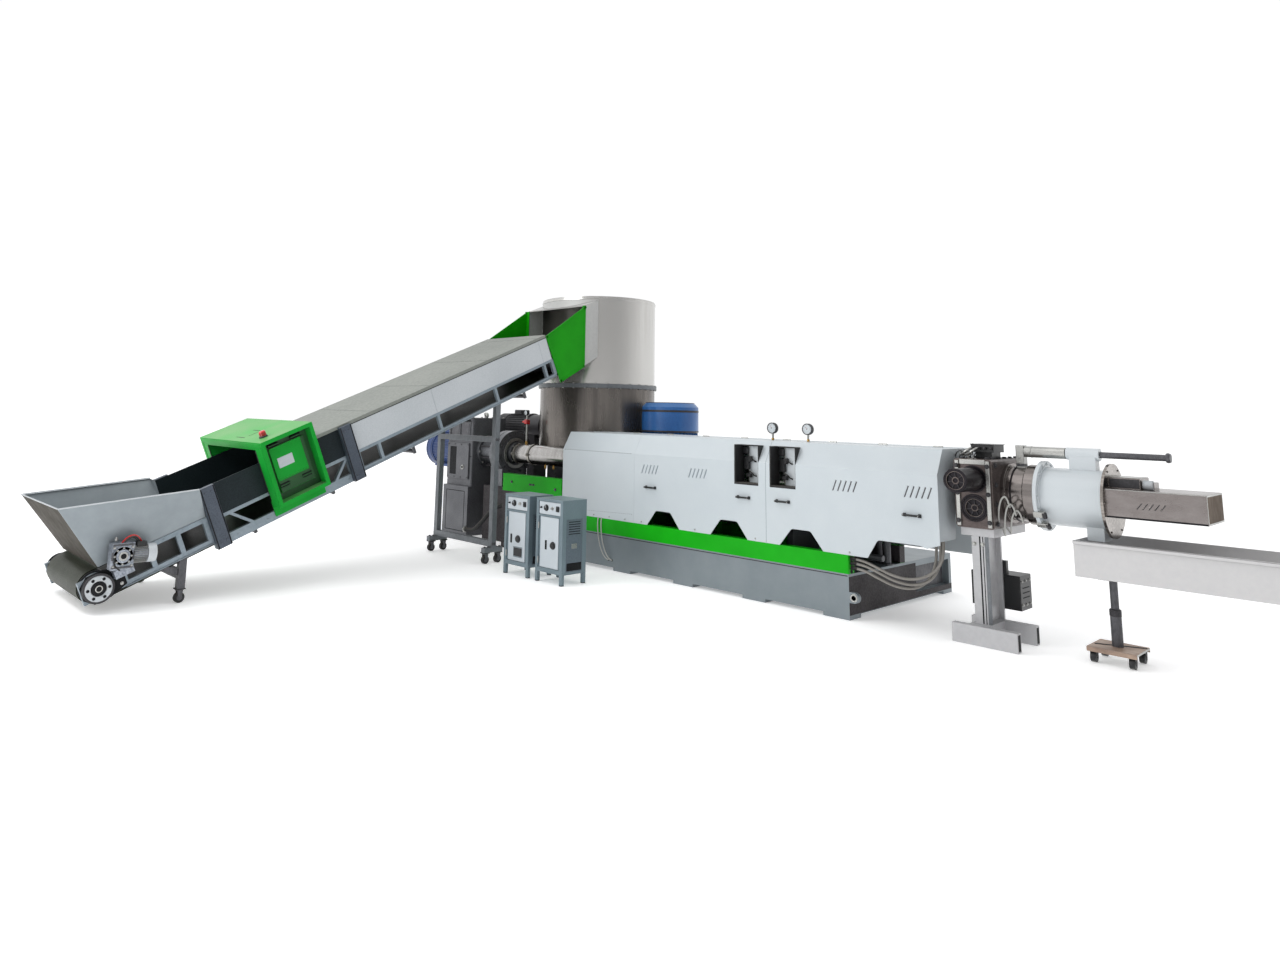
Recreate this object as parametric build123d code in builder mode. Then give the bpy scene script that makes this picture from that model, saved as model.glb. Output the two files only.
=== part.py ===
import os
from math import atan2, cos, degrees, pi, radians, sin, tan

from build123d import *

os.makedirs("parts", exist_ok=True)

# Fits
seat = 0.3
sheet = 6
slide_gap = 5

# Directions of the belt's slope
slope_angle = 22.6
slope_cos = cos(radians(slope_angle))
slope_sin = sin(radians(slope_angle))

# Screw line
screw_height = 1070
barrel_radius = 118
band_radius = 150
band_width = 230
band_pitch = 300

# Base under the white covers
base_length = 3476
base_depth = 1878
base_height = 357
pad_height = 30
pad_length = 240
pad_width = 180
rail_height = 150
rail_width = 90
end_recess = 60
end_flange = 50
lug_radius = 42
lug_bore = 18
lug_length = 40
lug_reach = 40

# Raised base under the compactor
feed_base_length = 1765
feed_base_height = 660
feed_front_length = 1055
feed_step = 250
feed_rail_height = 200
base_gap = 15

# Covers
cover_past_base = 762
cover_length = base_length + cover_past_base
cover_half_depth = 481
cover_break = 1195
cover_top = 1386
cover_slant = 111
left_cover_length = base_length - 787
window_bottom = 990
window_top = 1345
window_width = 264
window_starts = (left_cover_length - window_width - 78, left_cover_length + 42)
arch_height = 148
arch_bottom = 424
arch_top = 186
arch_corner = 38
arch_centres = (1482, 2279, left_cover_length + 349)
end_arch_start = cover_length - 593
end_arch_width = 491
end_arch_slant = 91
window_lip = 8
end_plate_bottom = 700
end_corner = 185
end_notch_half = 200
end_notch_top = 927
handle_length = 137
handle_height = 876
handle_reach = 32
handle_bar = 16
handle_centres = (1319, left_cover_length - 240, left_cover_length + 175, cover_length - 209)
gauge_centres = (left_cover_length - 202, left_cover_length + 178)
gauge_radius = 50
gauge_height = 66

# Compactor and its place on the line
belt_past_base = 780
belt_from_end = base_length + belt_past_base
compactor_behind = 800
compactor_radius = 740
compactor_wall = 8
compactor_bottom = 1080
ring_height = 1905
ring_thick = 50
ring_lip = 26
roof_thick = 12
stub_leg = 160

# Feed hood
hood_half_width = 525
hood_front = 35
hood_depth = 340
hood_mouth_height = 740
hood_roof_rise = 135
hood_rise = 190

# Drive train, from the compactor to the left
flange_from_centre = 600
flange_length = 250
flange_radius = 280
small_flange_radius = 135
small_flange_length = 70
lantern_length = 370
lantern_radius = 168
gearbox_length = 550
gearbox_depth = 560
gearbox_bottom = 620
gearbox_top = 1500
motor_length = 590
motor_radius = 225
side_motor_radius = 155
side_motor_length = 900
side_motor_behind = 620
side_motor_height = 1405

# Compactor motor
rotor_motor_radius = 340
rotor_motor_top = 1740
rotor_motor_behind = 940
rotor_motor_inset = 324
rotor_cowl_height = 340

# Conveyor
belt_length = 5200
head_before = 254
tail_before = belt_length * slope_cos + head_before
tail_height = 193
head_height = tail_height + belt_length * slope_sin
drum_radius = 120
belt_thick = 8
belt_width = 960
frame_half_width = 550
frame_plate = 40
frame_bottom = -100
frame_top = 107
low_frame_bottom = -90
low_frame_top = 142
frame_rail = 30
low_frame_rail = 38
divider_places = (2598, 3322, 4107, 4861)
chord_top = -72
brace_width = 34
post_width = 120
post_thick = 50
post_bottom = -150
post_top = 385
first_post = 900
second_post = 2230
panel_top = 380
panel_sheet = 12
bed_thick = 30
journal_radius = 30
bearing_radius = 112
bearing_thick = 50
gear_width = 96
gear_length = 200
gear_height = 440
gear_half = 92
gearmotor_length = 165
gearmotor_radius = 62

# Hopper
hopper_lip_half = 650
hopper_start = 51
hopper_end = 896
lip_start = -89
lip_start_rise = 704
lip_end = 890
lip_end_rise = 407

# Metal detector tunnel
tunnel_start = 1445
tunnel_length = 494
tunnel_half_width = 720
tunnel_bottom = -30
tunnel_top = 572
tunnel_side = 150
tunnel_roof = 70
door_recess = 105
door_margin = 70
door_thick = 22

# Stands of the conveyor
leg_tube = 60
leg_from_tail = 625
stand_before = 1240
stand_tube = 60
stand_foot = 240
stand_low_bar = 200
stand_bar_drop = 490
caster_height = 115
caster_radius = 42
caster_width = 34

# Screen changer
changer_start = 834
changer_width = 280
changer_depth = 700
changer_height = 505
piston_radius = 86
piston_rise = 105
piston_travel = 310
piston_rod = 22
jack_radius = 72
jack_length = 450
rod_length = 390
column_width = 100
column_depth = 300
column_front = 40
column_web = 30
column_flange = 22
head_plate = 60
foot_beam_length = 460
foot_beam_width = 62
foot_beam_height = 135

# Pelletizer
ring_radius = 200
ring_length = 230
hood_flange_radius = 254
hood_flange_thick = 26
hood_radius = 208
hood_length = 440
hood_wall = 10
end_disc_radius = 259
end_disc_thick = 18
cutter_box_length = 580
cutter_box_width = 440
cutter_box_height = 192
guide_rise = 315
guide_radius = 22
guide_sleeve_radius = 40
guide_boss_radius = 44
guide_boss_length = 216
guide_post_width = 56
guide_reach = 990
guide_knob_radius = 30

# Outlet trough
trough_start = 1617
trough_length = 1927
trough_half_width = 306
trough_top = 805
trough_depth = 240
trough_wall = 10
jack_from_end = 165
jack_tube = 24
jack_plate = 300

# Free cables at the base end and the drive hose
arc_share = 0.45
cable_radius = 11
cable_1_route = ((0.3, 42, 478), (95, 42, 478), (205, 56, 440), (330, 90, 385), (455, 138, 366),
                 (575, 186, 405), (668, 216, 500), (690, 220, 620), (690, 220, 719.7))
cable_2_route = ((0.3, 46, 442), (105, 46, 442), (220, 66, 398), (345, 112, 338), (475, 172, 322),
                 (580, 220, 370), (642, 240, 480), (655, 244, 600), (655, 244, 719.7))
cable_3_route = ((0.3, 50, 404), (100, 50, 404), (210, 78, 352), (335, 130, 296), (455, 194, 290),
                 (545, 244, 355), (598, 266, 478), (610, 270, 600), (610, 270, 719.7))
hose_radius = 25
hose_route = ((-0.3, 125, 470), (-180, 125, 470), (-360, 105, 375), (-510, 100, 235), (-670, 110, 125),
              (-790, 135, 90), (-929.7, 135, 90))

# Terminal box on the covers' end plate, where the cables end
terminal_start = 560
terminal_front = 204
terminal_back = 285
terminal_bottom = 720
terminal_top = 850

# Control cabinets
cabinet_width = 380
cabinet_depth = 310
cabinet_height = 775
cabinet_leg = 34
cabinet_foot = 95
cabinet_before = 1470
cabinet_starts = (235, 725)

# Heights of the compactor that follow the belt's head
hood_mouth_bottom = head_height - 46
hood_mouth_top = hood_mouth_bottom + hood_mouth_height
compactor_top = hood_mouth_top + hood_roof_rise

# The frame's origin is on the floor at the middle of the whole footprint
left_reach = (belt_from_end + flange_from_centre + flange_length + lantern_length
              + gearbox_length + motor_length)
right_reach = trough_start + trough_length
front_reach = tail_before - lip_start * slope_cos + lip_start_rise * slope_sin
back_reach = compactor_behind + compactor_radius + ring_lip
end_x = (left_reach - right_reach) / 2
screw_y = (front_reach - back_reach) / 2

base_left = end_x - base_length
front_y = screw_y - cover_half_depth
belt_x = end_x - belt_from_end
tail_y = screw_y - tail_before
rail_top = base_height + rail_height
compactor_y = screw_y + compactor_behind


def block(x0, x1, y0, y1, z0, z1, mode=Mode.ADD):
    """A box between two corners."""
    with Locations(((x0 + x1) / 2, (y0 + y1) / 2, (z0 + z1) / 2)):
        Box(abs(x1 - x0), abs(y1 - y0), abs(z1 - z0), mode=mode)


def on_slope(along, rise):
    """The world y and z of a place measured along and square to the belt."""
    return (tail_y + along * slope_cos - rise * slope_sin,
            tail_height + along * slope_sin + rise * slope_cos)


def slope_height(y):
    """The height of the belt's line above the floor at this y."""
    return tail_height + (y - tail_y) * tan(radians(slope_angle))


def side_plane(across):
    """A plane of the belt's side view, across from the belt's middle."""
    return Plane(origin=(belt_x + across, tail_y, tail_height),
                 x_dir=(0, slope_cos, slope_sin), z_dir=(1, 0, 0))


def belt_plane(along, rise):
    """A plane parallel to the belt, y running up the slope."""
    y, z = on_slope(along, rise)
    return Plane(origin=(belt_x, y, z), x_dir=(1, 0, 0), z_dir=(0, -slope_sin, slope_cos))


def round_bar(x0, x1, y, z, radius, mode=Mode.ADD):
    """A cylinder along X."""
    with Locations(Location(((x0 + x1) / 2, y, z), (0, 90, 0))):
        Cylinder(radius, abs(x1 - x0), mode=mode)


def round_bar_y(x, y0, y1, z, radius, mode=Mode.ADD):
    """A cylinder along Y."""
    with Locations(Location((x, (y0 + y1) / 2, z), (90, 0, 0))):
        Cylinder(radius, abs(y1 - y0), mode=mode)


def cord_path(start_x, points):
    """Straight runs joined by arcs as large as the runs allow, from start_x and the base's front."""
    places = [Vector(start_x + x, front_y + y, z) for x, y, z in points]
    runs = [after - before for before, after in zip(places, places[1:])]
    radii = [arc_share * min(before.length, after.length) / tan(radians(before.get_angle(after)) / 2)
             for before, after in zip(runs, runs[1:])]
    with BuildLine(mode=Mode.PRIVATE) as path:
        FilletPolyline(*places, radius=radii)
    print("cord length", round(path.wire().length), "arc radii", [round(radius) for radius in radii])
    return path.wire()


def post_round(x, y, z0, z1, radius, mode=Mode.ADD):
    """A cylinder along Z."""
    with Locations((x, y, (z0 + z1) / 2)):
        Cylinder(radius, z1 - z0, mode=mode)


def ladder(start, end, bottom, top, rail, bays):
    """The flat outline of a ladder frame with square openings."""
    with Locations(((start + end) / 2, (bottom + top) / 2)):
        Rectangle(end - start, top - bottom)
    pitch = (end - start - rail) / bays
    for bay in range(bays):
        left = start + rail + bay * pitch
        with Locations((left + (pitch - rail) / 2, (bottom + top) / 2)):
            Rectangle(pitch - rail, top - bottom - 2 * rail, mode=Mode.SUBTRACT)


def open_run(start, end, bottom, top, rail, dividers):
    """The flat outline of a long frame, open between its dividers."""
    with Locations(((start + end) / 2, (bottom + top) / 2)):
        Rectangle(end - start, top - bottom)
    edges = [start + rail, *(place + side * rail / 2 for place in dividers for side in (-1, 1)), end - rail]
    for left, right in zip(edges[::2], edges[1::2]):
        with Locations(((left + right) / 2, (bottom + top) / 2)):
            Rectangle(right - left, top - bottom - 2 * rail, mode=Mode.SUBTRACT)


def braced_bay():
    """The bay under the tunnel: a deep bottom chord, a thin top chord and a brace at each post."""
    left, right = first_post + seat, panel_start
    for low, high in ((post_bottom, chord_top), (frame_top - frame_rail, frame_top)):
        with Locations(((left + right) / 2, (low + high) / 2)):
            Rectangle(right - left, high - low)
    for start in (first_post, second_post):
        with Locations((start + post_width / 2, (post_bottom + frame_top) / 2)):
            Rectangle(post_width - 2 * seat, frame_top - post_bottom)
    for foot, lean in ((first_post + post_width + 215, 1), (second_post - 175, -1)):
        rise = frame_top - chord_top
        with BuildLine(mode=Mode.PRIVATE) as brace:
            Polyline((foot, chord_top - 5), (foot - lean * rise, frame_top - 5),
                     (foot - lean * rise + brace_width, frame_top - 5), (foot + brace_width, chord_top - 5),
                     close=True)
        make_face(brace.edges())


def caster(x, y):
    """A caster with its plate, fork and wheel."""
    block(x - 38, x + 38, y - 38, y + 38, caster_height - 8, caster_height)
    block(x - 26, x + 26, y - 12, y + 12, caster_radius, caster_height - 8)
    round_bar(x - caster_width / 2, x + caster_width / 2, y, caster_radius, caster_radius)


# The light panels and the open run start past the second post
panel_start = second_post + post_width + seat

# Base frame: a box with a recessed channel end on its floor pads
pad_count = 5
base_back = front_y + base_depth
with BuildPart() as base_frame:
    with BuildSketch(Plane.XY.offset(pad_height)):
        with Locations((end_x - base_length / 2, front_y + base_depth / 2)):
            Rectangle(base_length, base_depth)
    extrude(amount=base_height - pad_height)
    with BuildSketch(Plane.YZ.offset(end_x)):
        with Locations((front_y + base_depth / 2, (base_height + pad_height) / 2)):
            Rectangle(base_depth - 2 * end_flange, base_height - pad_height - 2 * end_flange)
    extrude(amount=-end_recess, mode=Mode.SUBTRACT)
    pad_pitch = (base_length - pad_length) / (pad_count - 1)
    for pad in range(pad_count):
        pad_x = base_left + pad * pad_pitch
        for pad_y in (front_y, base_back - pad_width):
            block(pad_x, pad_x + pad_length, pad_y, pad_y + pad_width, 0, pad_height)
    lug_x = end_x + lug_reach
    lug_z = base_height / 2
    block(end_x - 1, lug_x, front_y, front_y + lug_length, lug_z - lug_radius, lug_z + lug_radius)
    round_bar_y(lug_x, front_y, front_y + lug_length, lug_z, lug_radius)
    round_bar_y(lug_x, front_y, front_y + lug_length, lug_z, lug_bore, mode=Mode.SUBTRACT)
base_frame.part.label = "base_frame"
export_step(base_frame.part, "parts/base_frame.step")

# Raised base under the compactor and the flange
feed_base_right = base_left - base_gap
feed_base_left = feed_base_right - feed_base_length
feed_front_left = feed_base_right - feed_front_length
with BuildPart() as feed_base:
    block(feed_base_left, feed_base_right, front_y + feed_step, base_back, 0, feed_base_height)
    block(feed_front_left, feed_base_right, front_y, front_y + feed_step, 0, feed_base_height)
    block(feed_front_left + 90, feed_base_right - 90, front_y, front_y + end_recess, 90,
          feed_base_height - 90, mode=Mode.SUBTRACT)
feed_base.part.label = "feed_base"
export_step(feed_base.part, "parts/feed_base.step")

# Green rails: two under the covers, two on the raised base
cover_back_y = screw_y + cover_half_depth
feed_rail_top = feed_base_height + feed_rail_height
with BuildPart() as green_rails:
    for y in (front_y, cover_back_y - rail_width):
        block(base_left, end_x, y, y + rail_width, base_height + seat, rail_top)
    for left, y in ((feed_front_left, front_y), (feed_base_left, base_back - rail_width)):
        block(left, feed_base_right, y, y + rail_width, feed_base_height + seat, feed_rail_top)
green_rails.part.label = "green_rails"
export_step(green_rails.part, "parts/green_rails.step")

# Covers: folded sheet, cut for windows and arches
cover_left = base_left
cover_right = cover_left + cover_length
cover_seam = cover_left + left_cover_length
cover_bottom = rail_top + seat
slant_turn = atan2(cover_slant, cover_top - cover_break)
inner_break = cover_break - sheet * tan(slant_turn / 2)
inner_slant = cover_slant + sheet * tan((pi / 2 - slant_turn) / 2)


def cover_outline():
    """The folded section of a front cover, from its foot over the slanted shoulder to the seam."""
    with BuildLine(mode=Mode.PRIVATE) as fold:
        Polyline(
            (front_y, cover_bottom), (front_y, cover_break), (front_y + cover_slant, cover_top),
            (screw_y - seat, cover_top), (screw_y - seat, cover_top - sheet),
            (front_y + inner_slant, cover_top - sheet), (front_y + sheet, inner_break),
            (front_y + sheet, cover_bottom), close=True)
    return fold.line


def cut_arches(centres):
    """Cut the arches at these centres out of the cover's foot."""
    for centre in centres:
        with BuildSketch(Plane.XZ.offset(-front_y), mode=Mode.PRIVATE) as arch:
            with BuildLine():
                Polyline(
                    (cover_left + centre - arch_bottom / 2, cover_bottom - 1),
                    (cover_left + centre - arch_top / 2, cover_bottom + arch_height),
                    (cover_left + centre + arch_top / 2, cover_bottom + arch_height),
                    (cover_left + centre + arch_bottom / 2, cover_bottom - 1), close=True)
            make_face()
            fillet(arch.vertices().group_by(Axis.Y)[-1], radius=arch_corner)
        extrude(arch.sketch, amount=-2 * sheet, mode=Mode.SUBTRACT)


def cut_window(start):
    """Cut a window through the front and the slanted shoulder."""
    left = cover_left + start
    block(left, left + window_width, front_y - 1, front_y + cover_slant - window_lip,
          window_bottom, window_top, mode=Mode.SUBTRACT)


with BuildPart() as front_cover_left:
    with BuildSketch(Plane.YZ.offset(cover_left)):
        with BuildLine():
            add(cover_outline())
        make_face()
    extrude(amount=left_cover_length - seat)
    cut_arches(arch_centres[:2])
    cut_window(window_starts[0])
front_cover_left.part.label = "front_cover_left"
export_step(front_cover_left.part, "parts/front_cover_left.step")

with BuildPart() as front_cover_right:
    with BuildSketch(Plane.YZ.offset(cover_seam)):
        with BuildLine():
            add(cover_outline())
        make_face()
    extrude(amount=cover_length - left_cover_length)
    cut_arches(arch_centres[2:])
    with BuildSketch(Plane.XZ.offset(-front_y)) as end_arch:
        with BuildLine():
            Polyline(
                (cover_left + end_arch_start, cover_bottom - 1),
                (cover_left + end_arch_start + end_arch_slant, cover_bottom + arch_height),
                (cover_left + end_arch_start + end_arch_width - 60, cover_bottom + arch_height),
                (cover_left + end_arch_start + end_arch_width, end_plate_bottom - 60),
                (cover_right + 1, end_plate_bottom - 25),
                (cover_right + 1, cover_bottom - 1), close=True)
        make_face()
        fillet(end_arch.vertices().sort_by(Axis.X)[1], radius=arch_corner)
    extrude(amount=-2 * sheet, mode=Mode.SUBTRACT)
    cut_window(window_starts[1])
front_cover_right.part.label = "front_cover_right"
export_step(front_cover_right.part, "parts/front_cover_right.step")

with BuildPart() as rear_cover:
    with BuildSketch(Plane.YZ.offset(cover_left)):
        with BuildLine():
            Polyline(
                (cover_back_y, cover_bottom), (cover_back_y, cover_break),
                (cover_back_y - cover_slant, cover_top), (screw_y, cover_top),
                (screw_y, cover_top - sheet), (cover_back_y - inner_slant, cover_top - sheet),
                (cover_back_y - sheet, inner_break), (cover_back_y - sheet, cover_bottom), close=True)
        make_face()
    extrude(amount=cover_length)
rear_cover.part.label = "rear_cover"
export_step(rear_cover.part, "parts/rear_cover.step")

# End plates inside the covers, open round the barrel
plate_inset = sheet + seat
with BuildPart() as cover_ends:
    for plate_x, bottom in ((cover_left, cover_bottom), (cover_right - sheet, end_plate_bottom)):
        with BuildSketch(Plane.YZ.offset(plate_x)):
            with BuildLine():
                Polyline(
                    (front_y + plate_inset, bottom), (front_y + plate_inset, inner_break),
                    (front_y + inner_slant + seat, cover_top - plate_inset),
                    (cover_back_y - inner_slant - seat, cover_top - plate_inset),
                    (cover_back_y - plate_inset, inner_break), (cover_back_y - plate_inset, bottom),
                    close=True)
            make_face()
            with Locations((screw_y, screw_height)):
                Circle(barrel_radius + seat, mode=Mode.SUBTRACT)
            with Locations((screw_y, (bottom + end_notch_top) / 2 - 20)):
                Rectangle(2 * end_notch_half, end_notch_top - bottom - 40, mode=Mode.SUBTRACT)
        extrude(amount=sheet)
    block(end_x + terminal_start, cover_right - sheet + 1, front_y + terminal_front, front_y + terminal_back,
          terminal_bottom, terminal_top)
cover_ends.part.label = "cover_ends"
export_step(cover_ends.part, "parts/cover_ends.step")

# Free cables from the green rail's end up to the terminal box
with BuildPart() as cable_1:
    first_path = cord_path(end_x, cable_1_route)
    with BuildSketch(Plane(origin=first_path @ 0, z_dir=first_path % 0)):
        Circle(cable_radius)
    sweep(path=first_path)
cable_1.part.label = "cable_1"
export_step(cable_1.part, "parts/cable_1.step")

with BuildPart() as cable_2:
    second_path = cord_path(end_x, cable_2_route)
    with BuildSketch(Plane(origin=second_path @ 0, z_dir=second_path % 0)):
        Circle(cable_radius)
    sweep(path=second_path)
cable_2.part.label = "cable_2"
export_step(cable_2.part, "parts/cable_2.step")

with BuildPart() as cable_3:
    third_path = cord_path(end_x, cable_3_route)
    with BuildSketch(Plane(origin=third_path @ 0, z_dir=third_path % 0)):
        Circle(cable_radius)
    sweep(path=third_path)
cable_3.part.label = "cable_3"
export_step(cable_3.part, "parts/cable_3.step")

# Handles on the front covers
with BuildPart() as cover_handles:
    for centre in handle_centres:
        handle_x = cover_left + centre
        half = handle_length / 2
        front = front_y - seat
        block(handle_x - half, handle_x + half, front - handle_reach, front - handle_reach + handle_bar,
              handle_height - handle_bar / 2, handle_height + handle_bar / 2)
        for foot in (-half, half - handle_bar):
            block(handle_x + foot, handle_x + foot + handle_bar, front - handle_reach, front,
                  handle_height - handle_bar / 2, handle_height + handle_bar / 2)
cover_handles.part.label = "cover_handles"
export_step(cover_handles.part, "parts/cover_handles.step")

# Pressure gauges on the covers' top
gauge_y = screw_y - 60
with BuildPart() as pressure_gauges:
    for centre in gauge_centres:
        gauge_x = cover_left + centre
        stem_bottom = cover_top + seat
        post_round(gauge_x, gauge_y, stem_bottom, stem_bottom + gauge_height, 10)
        round_bar_y(gauge_x, gauge_y - 18, gauge_y + 18, stem_bottom + gauge_height + gauge_radius - 4,
                    gauge_radius)
pressure_gauges.part.label = "pressure_gauges"
export_step(pressure_gauges.part, "parts/pressure_gauges.step")

# Barrel with its heater bands
flange_x = belt_x - flange_from_centre
changer_left = end_x + changer_start
band_start = cover_left + 90
band_count = int((cover_length - 250) / band_pitch)
with BuildPart() as barrel:
    round_bar(flange_x + seat, changer_left - seat, screw_y, screw_height, barrel_radius)
    for band in range(band_count):
        band_x = band_start + band * band_pitch
        round_bar(band_x, band_x + band_width, screw_y, screw_height, band_radius)
barrel.part.label = "barrel"
export_step(barrel.part, "parts/barrel.step")

# Saddles that carry the barrel on the base
saddle_width = 60
with BuildPart() as barrel_saddles:
    for band in (1, 5, 9):
        saddle_x = band_start + band * band_pitch - (band_pitch - band_width) / 2
        with BuildSketch(Plane.YZ.offset(saddle_x - saddle_width / 2)):
            with BuildLine():
                Polyline((screw_y - 230, base_height + seat), (screw_y - 150, screw_height),
                         (screw_y + 150, screw_height), (screw_y + 230, base_height + seat), close=True)
            make_face()
            with Locations((screw_y, screw_height)):
                Circle(barrel_radius + seat, mode=Mode.SUBTRACT)
        extrude(amount=saddle_width)
barrel_saddles.part.label = "barrel_saddles"
export_step(barrel_saddles.part, "parts/barrel_saddles.step")

# Flange and lantern between the gearbox and the barrel
flange_left = flange_x - flange_length
lantern_left = flange_left - lantern_length
with BuildPart() as feed_flange:
    round_bar(flange_left, flange_x - small_flange_length, screw_y, screw_height, flange_radius)
    round_bar(flange_x - small_flange_length, flange_x, screw_y, screw_height, small_flange_radius)
    block(flange_left + 60, flange_left + 180, screw_y - 200, screw_y + 200,
          feed_base_height + seat, screw_height)
    round_bar(lantern_left + seat, flange_left - seat, screw_y, screw_height, lantern_radius)
    round_bar(lantern_left + seat, lantern_left + 50, screw_y, screw_height, lantern_radius + 40)
    round_bar(flange_left - 50, flange_left - seat, screw_y, screw_height, lantern_radius + 40)
feed_flange.part.label = "feed_flange"
export_step(feed_flange.part, "parts/feed_flange.step")

# Gearbox on its plinth
gearbox_left = lantern_left - gearbox_length
with BuildPart() as gearbox:
    block(gearbox_left, lantern_left, screw_y - gearbox_depth / 2, screw_y + gearbox_depth / 2,
          gearbox_bottom, gearbox_top)
    fillet(gearbox.edges().filter_by(Axis.Z), radius=25)
    block(gearbox_left + 40, lantern_left - 40, screw_y - gearbox_depth / 2 - 25,
          screw_y - gearbox_depth / 2 + 1, gearbox_bottom + 90, gearbox_top - 330)
    block(gearbox_left, lantern_left, screw_y - gearbox_depth / 2 - 40, screw_y + gearbox_depth / 2 + 40,
          0, gearbox_bottom - seat)
gearbox.part.label = "gearbox"
export_step(gearbox.part, "parts/gearbox.step")

# Corrugated hose from the raised base's step down to the gearbox plinth
with BuildPart() as drive_hose:
    hose_path = cord_path(feed_front_left, hose_route)
    with BuildSketch(Plane(origin=hose_path @ 0, z_dir=hose_path % 0)):
        Circle(hose_radius)
    sweep(path=hose_path)
drive_hose.part.label = "drive_hose"
export_step(drive_hose.part, "parts/drive_hose.step")
for cord, path, radius in ((cable_1, first_path, cable_radius), (cable_2, second_path, cable_radius),
                           (cable_3, third_path, cable_radius), (drive_hose, hose_path, hose_radius)):
    print(cord.part.label, "volume", round(cord.part.volume), "section by length",
          round(pi * radius ** 2 * path.length))

# Main motor with a fan cowl at its far end
motor_left = gearbox_left - motor_length
with BuildPart() as main_motor:
    round_bar(motor_left + 120, gearbox_left - seat, screw_y, screw_height, motor_radius)
    round_bar(motor_left, motor_left + 140, screw_y, screw_height, motor_radius + 12)
main_motor.part.label = "main_motor"
export_step(main_motor.part, "parts/main_motor.step")

# Side motor behind the flange, on a bracket from the raised base
side_motor_y = screw_y + side_motor_behind
side_motor_right = belt_x - compactor_radius - 40
with BuildPart() as side_motor:
    round_bar(side_motor_right - side_motor_length, side_motor_right, side_motor_y, side_motor_height,
              side_motor_radius)
    block(side_motor_right - 260, side_motor_right - 120, side_motor_y - 110, side_motor_y + 110,
          feed_base_height + seat, side_motor_height)
side_motor.part.label = "side_motor"
export_step(side_motor.part, "parts/side_motor.step")

# Compactor: floor, lower shell, ring, upper shell and roof
inner_radius = compactor_radius - compactor_wall
floor_thick = 20
with BuildPart() as compactor_floor:
    post_round(belt_x, compactor_y, compactor_bottom, compactor_bottom + floor_thick, compactor_radius)
    round_bar(belt_x - 2 * compactor_radius, belt_x + 2 * compactor_radius, screw_y, screw_height,
              barrel_radius + seat, mode=Mode.SUBTRACT)
compactor_floor.part.label = "compactor_floor"
export_step(compactor_floor.part, "parts/compactor_floor.step")

with BuildPart() as compactor_lower_shell:
    shell_bottom = compactor_bottom + floor_thick + seat
    post_round(belt_x, compactor_y, shell_bottom, ring_height - seat, compactor_radius)
    post_round(belt_x, compactor_y, shell_bottom, ring_height, inner_radius, mode=Mode.SUBTRACT)
    round_bar(belt_x - 2 * compactor_radius, belt_x + 2 * compactor_radius, screw_y, screw_height,
              barrel_radius + seat, mode=Mode.SUBTRACT)
compactor_lower_shell.part.label = "compactor_lower_shell"
export_step(compactor_lower_shell.part, "parts/compactor_lower_shell.step")

ring_top = ring_height + ring_thick
with BuildPart() as compactor_ring:
    with BuildSketch(Plane.XY.offset(ring_height)):
        with Locations((belt_x, compactor_y)):
            Circle(compactor_radius + ring_lip)
            Circle(inner_radius, mode=Mode.SUBTRACT)
    extrude(amount=ring_thick)
compactor_ring.part.label = "compactor_ring"
export_step(compactor_ring.part, "parts/compactor_ring.step")

mouth_y = screw_y + hood_front
mouth_back_y = mouth_y + hood_depth
with BuildPart() as compactor_upper_shell:
    post_round(belt_x, compactor_y, ring_top + seat, compactor_top, compactor_radius)
    post_round(belt_x, compactor_y, ring_top, compactor_top + 1, inner_radius, mode=Mode.SUBTRACT)
    block(belt_x - hood_half_width + sheet, belt_x + hood_half_width - sheet, mouth_y, compactor_y,
          hood_mouth_bottom + hood_rise + sheet, compactor_top - 2 * sheet, mode=Mode.SUBTRACT)
compactor_upper_shell.part.label = "compactor_upper_shell"
export_step(compactor_upper_shell.part, "parts/compactor_upper_shell.step")

with BuildPart() as compactor_roof:
    post_round(belt_x, compactor_y, compactor_top + seat, compactor_top + roof_thick, compactor_radius)
compactor_roof.part.label = "compactor_roof"
export_step(compactor_roof.part, "parts/compactor_roof.step")

# Stub legs between the raised base and the compactor floor
with BuildPart() as compactor_legs:
    leg_ring = compactor_radius - 260
    leg_top = compactor_bottom - seat
    for side in (-1, 1):
        for y in (compactor_y - leg_ring * 0.55, compactor_y + leg_ring * 0.8):
            x = belt_x + side * leg_ring
            block(x - stub_leg / 2, x + stub_leg / 2, y - stub_leg / 2, y + stub_leg / 2,
                  feed_base_height + seat, leg_top)
compactor_legs.part.label = "compactor_legs"
export_step(compactor_legs.part, "parts/compactor_legs.step")

# Feed hood: a sloping duct from the belt's head into the upper shell
with BuildPart() as feed_hood:
    with BuildSketch(Plane.YZ.offset(belt_x - hood_half_width)):
        with BuildLine():
            Polyline((mouth_y, hood_mouth_bottom), (mouth_y, hood_mouth_top),
                     (mouth_back_y, compactor_top), (compactor_y, compactor_top),
                     (compactor_y, hood_mouth_bottom + hood_rise),
                     (mouth_back_y, hood_mouth_bottom + hood_rise), close=True)
        make_face()
    extrude(amount=2 * hood_half_width)
    with BuildSketch(Plane.YZ.offset(belt_x - hood_half_width + sheet)):
        with BuildLine():
            Polyline((mouth_y - 1, hood_mouth_bottom + sheet), (mouth_y - 1, hood_mouth_top - sheet),
                     (mouth_back_y, compactor_top - sheet), (compactor_y, compactor_top - sheet),
                     (compactor_y, hood_mouth_bottom + hood_rise + sheet),
                     (mouth_back_y, hood_mouth_bottom + hood_rise + sheet), close=True)
        make_face()
    extrude(amount=2 * (hood_half_width - sheet), mode=Mode.SUBTRACT)
    post_round(belt_x, compactor_y, ring_top, compactor_top + 1, compactor_radius + seat, mode=Mode.SUBTRACT)
feed_hood.part.label = "feed_hood"
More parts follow.
